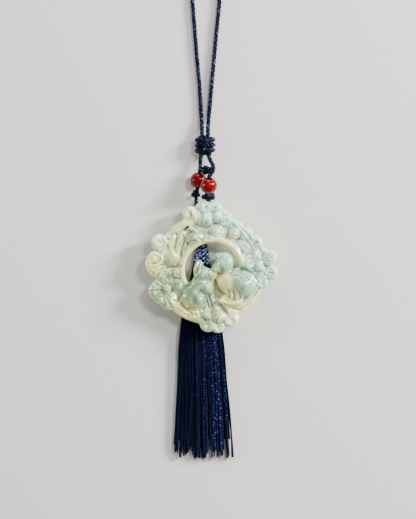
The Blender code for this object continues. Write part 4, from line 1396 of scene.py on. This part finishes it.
# Hanger cord. A thinner cord, plaited a little looser, runs from the left knot under the jade, up
# through the tunnel in its back, and out again to the right knot. Only its left end shows from above.
HANGER_HEIGHT = 2.0 * MM
HANGER_LOOSE = 1.65 * MM
HANGER_STEP = 0.4 * HANGER
ARCH_STEPS = 16
tunnel_middle = Vector(((LEFT_KNOT.x + RIGHT_KNOT.x) / 2, TUNNEL_Y, BACK_HEIGHT))
arch = []
for i in range(ARCH_STEPS + 1):
    angle = math.pi * (1 - i / ARCH_STEPS)
    reach = TUNNEL_SPAN / 2
    arch.append(tunnel_middle + Vector((reach * math.cos(angle), 0.0, reach * math.sin(angle))))
dip = BACK_HEIGHT - HANGER_HEIGHT
left_way = [
    LEFT_KNOT,
    Vector((LEFT_KNOT.x, LEFT_KNOT.y - KNOT_HALF_LENGTH - CLEARANCE, LEFT_KNOT.z - 0.2 * MM)),
    Vector((LEFT_KNOT.x, TUNNEL_Y + 2.4 * dip, HANGER_HEIGHT)),
    Vector((LEFT_KNOT.x, TUNNEL_Y + 1.0 * dip, HANGER_HEIGHT)),
    Vector((LEFT_KNOT.x, TUNNEL_Y + 0.25 * dip, HANGER_HEIGHT + 0.3 * dip)),
]
right_way = [
    Vector((RIGHT_KNOT.x, TUNNEL_Y + 0.25 * dip, HANGER_HEIGHT + 0.3 * dip)),
    Vector((RIGHT_KNOT.x, TUNNEL_Y + 1.0 * dip, HANGER_HEIGHT)),
    Vector((RIGHT_KNOT.x, TUNNEL_Y + 2.0 * dip, HANGER_HEIGHT)),
    Vector((RIGHT_KNOT.x, RIGHT_KNOT.y - KNOT_HALF_LENGTH - CLEARANCE, HANGER_HEIGHT + 0.6 * MM)),
    RIGHT_KNOT,
]
hanger_line = flowing([*left_way, arch[0]], HANGER_STEP)[:-1] + arch
hanger_line += flowing([arch[-1], *right_way], HANGER_STEP)[1:]
hanger_cord = plaited("plaited_hanger_cord", hanger_line, HANGER_LOOSE)
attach(hanger_cord, "root")
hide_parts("hanger_cord")

# Tassel cap and loop. The cap is a sleeve netted from fine dark blue cord over the bound head of the
# tassel. A ring of the same fine cord ties its top to the hanger cord.
TASSEL_CORD = 0.8 * MM
TASSEL_THICK = 4.0 * MM
CAP_STRANDS = 9
CAP_CORD = 0.62 * MM
CAP_STEPS = 24
LOOP_STEPS = 12
FORM_SIDES = 28
FORM_SQUARENESS = 0.7

# Sections: distance along the tassel, middle and half width in millimetres, and share of its thickness.
CAP_SECTIONS = (
    (20.2, -2.5, 0.9, 0.5),
    (19.2, -3.0, 1.8, 0.8),
    (17.6, -3.5, 2.5, 0.95),
    (15.4, -3.7, 3.0, 1.0),
    (13.2, -3.8, 3.3, 1.0),
)
LOOP_HEIGHT = BACK_HEIGHT - CLEARANCE - TASSEL_CORD / 2

cap_top = Vector((CAP_SECTIONS[0][1] * MM, CAP_SECTIONS[0][0] * MM, LOOP_HEIGHT))
loop_far = Vector((RIGHT_KNOT.x, TUNNEL_Y, LOOP_HEIGHT))
loop_radius = HANGER / 2 + CLEARANCE + TASSEL_CORD / 2
axis = (loop_far - cap_top).normalized()
side = Vector((-axis.y, axis.x, 0.0))
loop_near = cap_top + axis * (CLEARANCE + TASSEL_CORD / 2 + loop_radius)
loop_line = []
for middle, start in ((loop_far, 0.0), (loop_near, math.pi)):
    for i in range(LOOP_STEPS + 1):
        angle = start + math.pi * i / LOOP_STEPS
        loop_line.append(middle + loop_radius * (-side * math.cos(angle) + axis * math.sin(angle)))
tassel_loop = plaited("plaited_tassel_loop", loop_line, TASSEL_CORD, closed=True)
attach(tassel_loop, "root")
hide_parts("tassel_loop")


def section_value(sections, distance, column):
    """A section's measure at a distance along the tassel, between the listed ones."""
    places = [row[0] for row in sections]
    values = [row[column] for row in sections]
    if places[0] > places[-1]:
        places, values = places[::-1], values[::-1]
    return float(np.interp(distance, places, values))


def soft_form(name, sections, shrink, finish):
    """A closed flattened bundle inside the given sections, under the threads or the netting."""
    bm = bmesh.new()
    rings = []
    for y, middle, half_width, thick in sections:
        ring = []
        for k in range(FORM_SIDES):
            angle = 2 * math.pi * k / FORM_SIDES
            across = math.copysign(abs(math.cos(angle)) ** FORM_SQUARENESS, math.cos(angle))
            rise = math.copysign(abs(math.sin(angle)) ** FORM_SQUARENESS, math.sin(angle))
            flat = thick * TASSEL_THICK / 2
            x = middle * MM + (half_width * MM - shrink) * across
            ring.append(bm.verts.new((x, y * MM, flat + (flat - shrink) * rise)))
        rings.append(ring)
    for ring, following in zip(rings, rings[1:]):
        for k in range(FORM_SIDES):
            n = (k + 1) % FORM_SIDES
            bm.faces.new((ring[k], ring[n], following[n], following[k]))
    bm.faces.new(rings[0])
    bm.faces.new(rings[-1])
    bmesh.ops.recalc_face_normals(bm, faces=bm.faces)
    form = scratch_object(name, bm)
    form.data.shade_smooth()
    form.data.materials.append(finish)
    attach(form, "root")
    return form


# The silk bound under the netting and between the threads: very dark, with hardly any gloss.
# Between the threads it stands for the inner threads in their shade, as painted shade.
BOUND_SILK_AND_SHADE = "#03050F"
bound_silk_and_shade, tree, shader = new_finish("Bound silk and shade")
shader.inputs["Base Color"].default_value = linear(BOUND_SILK_AND_SHADE)
shader.inputs["Roughness"].default_value = 0.8
shader.inputs["Specular IOR Level"].default_value = 0.1

cap_head = soft_form("tassel_cap_head", CAP_SECTIONS, 0.45 * MM, bound_silk_and_shade)
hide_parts("tassel_cap")

# Netted silk: the same silk with pale blue flecks painted into its colour as painted glints, so it
# sparkles.
NET_SPECK_SIZE = 0.77 * MM
NET_DARK = "#060A30"
NET_PAINTED_GLINT = "#A8BAFF"
netted_silk, tree, shader = new_finish("Netted silk cord")
coords = add_node(tree, "ShaderNodeTexCoord")
glint_specks = add_node(
    tree,
    "ShaderNodeTexNoise",
    {
        "Vector": coords.outputs["Object"],
        "Scale": 1 / NET_SPECK_SIZE,
        "Detail": 1.0,
        "Roughness": 0.5,
    },
)
colours = add_node(tree, "ShaderNodeValToRGB", {"Fac": glint_specks.outputs["Fac"]})
colours.color_ramp.elements[0].position = 0.49
colours.color_ramp.elements[0].color = linear(NET_DARK)
# Painted glints: the brighter flecks of the noise are pale blue.
colours.color_ramp.elements[1].position = 0.62
colours.color_ramp.elements[1].color = linear(NET_PAINTED_GLINT)
tree.links.new(colours.outputs["Color"], shader.inputs["Base Color"])
shader.inputs["Roughness"].default_value = 0.3
shader.inputs["Specular Tint"].default_value = linear(SILK_GLINT)

netting = plait_shape("Cap netting", "Z_UP")
cap_line = []
across = []
upward = []
for i in range(CAP_STEPS + 1):
    y = CAP_SECTIONS[0][0] + (CAP_SECTIONS[-1][0] - CAP_SECTIONS[0][0]) * i / CAP_STEPS
    half = section_value(CAP_SECTIONS, y, 2) * MM
    flat = section_value(CAP_SECTIONS, y, 3) * TASSEL_THICK / 2
    cap_line.append(Vector((section_value(CAP_SECTIONS, y, 1) * MM, y * MM, flat)))
    across.append(half - CAP_CORD / 2)
    upward.append(flat - CAP_CORD / 2)
cap_length = sum((b - a).length for a, b in zip(cap_line, cap_line[1:]))
cap_sizes = {
    "Strands": CAP_STRANDS,
    "Lay": 2.0 * cap_length,
    "Lift": 0.12 * MM,
    "Step": 0.25 * MM,
    "Strand radius": CAP_CORD / 2,
    "Material": netted_silk,
}
cap_guide = guide_line(cap_line, across=across, upward=upward)
cap_net = grow("tassel_cap_netting", cap_guide, netting, cap_sizes)
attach(cap_net, "root")

# Tassel skirt. Threads of twisted blue silk fall from under the cap in loose bundles, spread as they
# go, and end raggedly. There are fewer and thicker ones than in a real tassel, and a dark core lies
# between them as painted shade, standing for the inner threads in their shade.
SKIRT_SECTIONS = (
    (12.9, -3.7, 3.4, 1.0),
    (3.2, -3.9, 5.3, 1.0),
    (-8.0, -4.1, 7.6, 1.0),
    (-19.2, -3.9, 9.0, 0.9),
    (-37.9, -3.4, 10.2, 0.8),
    (-52.8, -3.2, 11.1, 0.7),
    (-60.4, -3.2, 11.5, 0.6),
)
THREAD_COUNT = 130
THREAD_CLUMPS = 22
THREAD_RADIUS = 0.32 * MM
THREAD_TWIST = 0.8 * MM
THREAD_POINTS = 60
THREAD_SIDES = 5
SKIRT_STEPS = 40

# How the threads lie: the width of a clump and how far it drifts, the powers that round the bundle's
# section, how deep its skin of threads is, how many lie on its underside, how far round a wave each
# thread goes on its way down, and how its twist varies in pace and start.
CLUMP_WIDTH = 0.45
CLUMP_DRIFT = 0.6
CLUMP_SEED = 11
SECTION_POWER = 2.6
ROUNDING_POWER = 0.4
SKIN_DEPTH = 0.5
UNDERSIDE_SHARE = 0.36
WAVE_ANGLE = 9.0
TWIST_PACE = 0.7
TWIST_START = 50.0 * MM

sizes = (
    ("Count", "NodeSocketInt"),
    ("Clumps", "NodeSocketInt"),
    ("Thread radius", "NodeSocketFloat"),
    ("Ragged", "NodeSocketFloat"),
    ("Sway", "NodeSocketFloat"),
    ("Points", "NodeSocketInt"),
    ("Material", "NodeSocketMaterial"),
)
threads, given = new_shape_tree("Tassel threads", sizes)
line = add_node(threads, "GeometryNodeMeshToCurve", {"Mesh": given["Geometry"]})
fine = add_node(
    threads, "GeometryNodeResampleCurve", {"Curve": line.outputs[0], "Count": given["Points"]}
)
copies = add_node(
    threads,
    "GeometryNodeDuplicateElements",
    {"Geometry": fine.outputs[0], "Amount": given["Count"]},
    domain="SPLINE",
)
number = copies.outputs["Duplicate Index"]
chance = []
for seed in range(1, 7):
    drawn = add_node(
        threads, "FunctionNodeRandomValue", {"ID": number, "Seed": seed}, data_type="FLOAT"
    )
    chance.append(drawn.outputs[1])
scaled = add_node(
    threads, "ShaderNodeMath", {0: chance[0], 1: given["Clumps"]}, operation="MULTIPLY"
)
clump = add_node(threads, "ShaderNodeMath", {0: scaled.outputs[0]}, operation="FLOOR")
within = add_node(
    threads, "ShaderNodeMath", {0: chance[1], 1: CLUMP_WIDTH}, operation="MULTIPLY"
)
shift = add_node(
    threads,
    "FunctionNodeRandomValue",
    {"ID": clump.outputs[0], "Seed": CLUMP_SEED},
    data_type="FLOAT",
)
within = add_node(
    threads,
    "ShaderNodeMath",
    {0: shift.outputs[1], 1: CLUMP_DRIFT, 2: within.outputs[0]},
    operation="MULTIPLY_ADD",
)
spot = add_node(
    threads, "ShaderNodeMath", {0: clump.outputs[0], 1: within.outputs[0]}, operation="ADD"
)
spot = add_node(
    threads, "ShaderNodeMath", {0: spot.outputs[0], 1: given["Clumps"]}, operation="DIVIDE"
)
across = add_node(
    threads, "ShaderNodeMath", {0: spot.outputs[0], 1: 2.0, 2: -1.0}, operation="MULTIPLY_ADD"
)
wide = add_node(threads, "ShaderNodeMath", {0: across.outputs[0]}, operation="ABSOLUTE")
wide = add_node(
    threads, "ShaderNodeMath", {0: wide.outputs[0], 1: SECTION_POWER}, operation="POWER"
)
room = add_node(threads, "ShaderNodeMath", {0: 1.0, 1: wide.outputs[0]}, operation="SUBTRACT")
room = add_node(
    threads, "ShaderNodeMath", {0: room.outputs[0], 1: ROUNDING_POWER}, operation="POWER"
)
skin = add_node(
    threads,
    "ShaderNodeMath",
    {0: chance[2], 1: SKIN_DEPTH, 2: 1 - SKIN_DEPTH},
    operation="MULTIPLY_ADD",
)
above = add_node(
    threads, "ShaderNodeMath", {0: chance[3], 1: UNDERSIDE_SHARE}, operation="GREATER_THAN"
)
above = add_node(
    threads, "ShaderNodeMath", {0: above.outputs[0], 1: 2.0, 2: -1.0}, operation="MULTIPLY_ADD"
)
rise = add_node(
    threads, "ShaderNodeMath", {0: room.outputs[0], 1: skin.outputs[0]}, operation="MULTIPLY"
)
rise = add_node(
    threads, "ShaderNodeMath", {0: rise.outputs[0], 1: above.outputs[0]}, operation="MULTIPLY"
)
place = add_node(threads, "GeometryNodeSplineParameter")
half_width = add_node(
    threads, "GeometryNodeInputNamedAttribute", {"Name": "across"}, data_type="FLOAT"
)
half_thick = add_node(
    threads, "GeometryNodeInputNamedAttribute", {"Name": "upward"}, data_type="FLOAT"
)
lag = add_node(threads, "ShaderNodeMath", {0: chance[4], 1: 2 * math.pi}, operation="MULTIPLY")
wave = add_node(
    threads,
    "ShaderNodeMath",
    {0: place.outputs["Factor"], 1: WAVE_ANGLE, 2: lag.outputs[0]},
    operation="MULTIPLY_ADD",
)
wave = add_node(threads, "ShaderNodeMath", {0: wave.outputs[0]}, operation="SINE")
wave = add_node(
    threads, "ShaderNodeMath", {0: wave.outputs[0], 1: place.outputs["Factor"]}, operation="MULTIPLY"
)
wave = add_node(
    threads, "ShaderNodeMath", {0: wave.outputs[0], 1: given["Sway"]}, operation="MULTIPLY"
)
sideways = add_node(
    threads,
    "ShaderNodeMath",
    {0: across.outputs[0], 1: half_width.outputs[0], 2: wave.outputs[0]},
    operation="MULTIPLY_ADD",
)
upwards = add_node(
    threads, "ShaderNodeMath", {0: rise.outputs[0], 1: half_thick.outputs[0]}, operation="MULTIPLY"
)
offset = add_node(
    threads, "ShaderNodeCombineXYZ", {"X": sideways.outputs[0], "Z": upwards.outputs[0]}
)
moved = add_node(
    threads,
    "GeometryNodeSetPosition",
    {"Geometry": copies.outputs["Geometry"], "Offset": offset.outputs[0]},
)
short = add_node(
    threads, "ShaderNodeMath", {0: chance[5], 1: given["Ragged"]}, operation="MULTIPLY"
)
until = add_node(threads, "ShaderNodeMath", {0: 1.0, 1: short.outputs[0]}, operation="SUBTRACT")
trimmed = add_node(
    threads,
    "GeometryNodeTrimCurve",
    {"Curve": moved.outputs[0], "End": until.outputs[0]},
    mode="FACTOR",
)
pace = add_node(
    threads,
    "ShaderNodeMath",
    {0: chance[5], 1: TWIST_PACE, 2: TWIST_PACE},
    operation="MULTIPLY_ADD",
)
laid = add_node(
    threads,
    "ShaderNodeMath",
    {0: place.outputs["Length"], 1: pace.outputs[0]},
    operation="MULTIPLY",
)
started = add_node(
    threads,
    "ShaderNodeMath",
    {0: chance[4], 1: TWIST_START, 2: laid.outputs[0]},
    operation="MULTIPLY_ADD",
)
# Painted shade: threads towards the left, away from the key light, and threads lying deeper in the
# bundle get a darker colour, and chance varies it further.
shade = add_node(
    threads,
    "ShaderNodeMapRange",
    {"Value": across.outputs[0], "From Min": -0.7, "From Max": 0.9, "To Min": 0.3, "To Max": 1.0},
)
shade = add_node(
    threads, "ShaderNodeMath", {0: shade.outputs[0], 1: chance[2]}, operation="MULTIPLY"
)
along = trimmed
for label, value in (("along", started.outputs[0]), ("shade", shade.outputs[0])):
    along = add_node(
        threads,
        "GeometryNodeStoreNamedAttribute",
        {"Geometry": along.outputs[0], "Name": label, "Value": value},
        data_type="FLOAT",
        domain="POINT",
    )
ring = add_node(
    threads,
    "GeometryNodeCurvePrimitiveCircle",
    {"Resolution": THREAD_SIDES, "Radius": given["Thread radius"]},
    mode="RADIUS",
)
spot = add_node(threads, "GeometryNodeInputPosition")
facing = add_node(
    threads, "ShaderNodeVectorMath", {0: spot.outputs[0]}, operation="NORMALIZE"
)
ring = add_node(
    threads,
    "GeometryNodeStoreNamedAttribute",
    {"Geometry": ring.outputs[0], "Name": "facing", "Value": facing.outputs[0]},
    data_type="FLOAT_VECTOR",
    domain="POINT",
)
skin = add_node(
    threads,
    "GeometryNodeCurveToMesh",
    {"Curve": along.outputs[0], "Profile Curve": ring.outputs[0], "Fill Caps": True},
)
finish_shape(threads, skin.outputs[0], given["Material"])

# Twisted silk thread: two fine plies wound round each other, so light and dark run round the thread
# in a tight helix; the dark turns are painted shade between the plies. The twist is drawn about twice
# as coarse as the real one, or it wouldn't show. Pale blue flecks on the lighter threads are painted
# glints.
THREAD_IN_SHADE = "#020307"
THREAD_BLUE = "#0B1246"
THREAD_PAINTED_GLINT = "#7B90EA"
PLY_SHADOW = "#02030A"
THREAD_SPECK_SIZE = 0.5 * MM
twisted_silk, tree, shader = new_finish("Twisted silk thread")
along = add_node(tree, "ShaderNodeAttribute", attribute_name="along")
facing = add_node(tree, "ShaderNodeAttribute", attribute_name="facing")
turned = add_node(
    tree,
    "ShaderNodeMath",
    {0: along.outputs["Fac"], 1: 2 * math.pi / THREAD_TWIST},
    operation="MULTIPLY",
)
sine = add_node(tree, "ShaderNodeMath", {0: turned.outputs[0]}, operation="SINE")
cosine = add_node(tree, "ShaderNodeMath", {0: turned.outputs[0]}, operation="COSINE")
heading = add_node(
    tree, "ShaderNodeCombineXYZ", {"X": sine.outputs[0], "Y": cosine.outputs[0]}
)
helix = add_node(
    tree,
    "ShaderNodeVectorMath",
    {0: heading.outputs[0], 1: facing.outputs["Vector"]},
    operation="DOT_PRODUCT",
)
ply = add_node(
    tree,
    "ShaderNodeMapRange",
    {"Value": helix.outputs["Value"], "From Min": -0.6, "From Max": 0.9},
)
shade = add_node(tree, "ShaderNodeAttribute", attribute_name="shade")
# Painted shade: the thread's blue darkens to near black as its stored shade falls.
blue = add_node(
    tree,
    "ShaderNodeMix",
    {0: shade.outputs["Fac"], 6: linear(THREAD_IN_SHADE), 7: linear(THREAD_BLUE)},
    data_type="RGBA",
)
coords = add_node(tree, "ShaderNodeTexCoord")
glint_specks = add_node(
    tree,
    "ShaderNodeTexNoise",
    {"Vector": coords.outputs["Object"], "Scale": 1 / THREAD_SPECK_SIZE, "Detail": 1.0},
)
caught = add_node(
    tree,
    "ShaderNodeMapRange",
    {"Value": glint_specks.outputs["Fac"], "From Min": 0.6, "From Max": 0.7},
)
lit = add_node(
    tree,
    "ShaderNodeMapRange",
    {"Value": shade.outputs["Fac"], "From Min": 0.4, "From Max": 0.8},
)
caught = add_node(
    tree,
    "ShaderNodeMath",
    {0: caught.outputs[0], 1: lit.outputs[0]},
    operation="MULTIPLY",
)
# Painted glints: pale blue flecks, only on the lighter threads.
blue = add_node(
    tree,
    "ShaderNodeMix",
    {0: caught.outputs[0], 6: blue.outputs[2], 7: linear(THREAD_PAINTED_GLINT)},
    data_type="RGBA",
)
blue = add_node(
    tree,
    "ShaderNodeMix",
    {0: ply.outputs[0], 6: linear(PLY_SHADOW), 7: blue.outputs[2]},
    data_type="RGBA",
)
bump = add_node(
    tree,
    "ShaderNodeBump",
    {"Height": ply.outputs[0], "Strength": 1.0, "Distance": 0.12 * MM},
)
tree.links.new(blue.outputs[2], shader.inputs["Base Color"])
tree.links.new(bump.outputs["Normal"], shader.inputs["Normal"])
shader.inputs["Roughness"].default_value = 0.27
shader.inputs["Specular IOR Level"].default_value = 0.14
shader.inputs["Specular Tint"].default_value = linear(SILK_GLINT)

# Painted shade: this dark core shows between the thread clumps as the shade of the inner threads.
skirt_shade_core = soft_form("tassel_skirt_shade_core", SKIRT_SECTIONS[:-1], 0.9 * MM, bound_silk_and_shade)
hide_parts("tassel_skirt")

skirt_line = []
across = []
upward = []
top_y = SKIRT_SECTIONS[0][0]
for i in range(SKIRT_STEPS + 1):
    y = top_y + (SKIRT_SECTIONS[-1][0] - top_y) * i / SKIRT_STEPS
    flat = section_value(SKIRT_SECTIONS, y, 3) * TASSEL_THICK / 2
    skirt_line.append(Vector((section_value(SKIRT_SECTIONS, y, 1) * MM, y * MM, flat)))
    across.append(section_value(SKIRT_SECTIONS, y, 2) * MM - THREAD_RADIUS)
    upward.append(flat - THREAD_RADIUS)
skirt_sizes = {
    "Count": THREAD_COUNT,
    "Clumps": THREAD_CLUMPS,
    "Thread radius": THREAD_RADIUS,
    "Ragged": 0.1,
    "Sway": 0.35 * MM,
    "Points": THREAD_POINTS,
    "Material": twisted_silk,
}
skirt_guide = guide_line(skirt_line, across=across, upward=upward)
skirt_threads = grow("tassel_threads", skirt_guide, threads, skirt_sizes)
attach(skirt_threads, "root")

# Table and lights. A plain pale table, one bright soft light from low at the right, weaker ones from
# the left, the top and the front that draw the smaller lines of gloss, and an even surround.
TABLE_COLOUR = "#DEDCD6"
KEY_POWER = 23.0
SIDE_POWER = 3.5
TOP_POWER = 3.5
FRONT_POWER = 7.0
SURROUND = 0.31
LIT_PLACE = (0.0, 0.01, 0.0)
TABLE_SIZE = 3.0
TABLE_GAP = 0.2 * MM

bm = bmesh.new()
bmesh.ops.create_grid(bm, x_segments=1, y_segments=1, size=TABLE_SIZE)
table = scratch_object("table", bm)
table.location.z = solid_box[0][2] - TABLE_GAP
painted, tree, shader = new_finish("Matt painted board")
shader.inputs["Base Color"].default_value = linear(TABLE_COLOUR)
shader.inputs["Roughness"].default_value = 0.9
table.data.materials.append(painted)


def soft_light(name, power, size, place):
    """A rectangular light of the given width and height, turned to the ornament."""
    panel = bpy.data.lights.new(name, "AREA")
    panel.energy = power
    panel.shape = "RECTANGLE"
    panel.size, panel.size_y = size
    light = bpy.data.objects.new(name, panel)
    light.location = place
    aim = Vector(LIT_PLACE) - Vector(place)
    light.rotation_euler = aim.to_track_quat("-Z", "Y").to_euler()
    bpy.context.scene.collection.objects.link(light)


soft_light("key_light", KEY_POWER, (0.16, 0.3), (0.78, 0.36, 0.42))
soft_light("side_light", SIDE_POWER, (0.08, 0.4), (-0.85, 0.1, 0.3))
soft_light("front_light", FRONT_POWER, (0.2, 0.2), (0.45, 0.4, 1.0))
soft_light("top_light", TOP_POWER, (0.4, 0.1), (-0.1, 0.95, 0.4))
world = bpy.data.worlds.new("surround")
world.use_nodes = True
world.node_tree.nodes["Background"].inputs["Color"].default_value = (1.0, 1.0, 1.0, 1.0)
world.node_tree.nodes["Background"].inputs["Strength"].default_value = SURROUND
bpy.context.scene.world = world
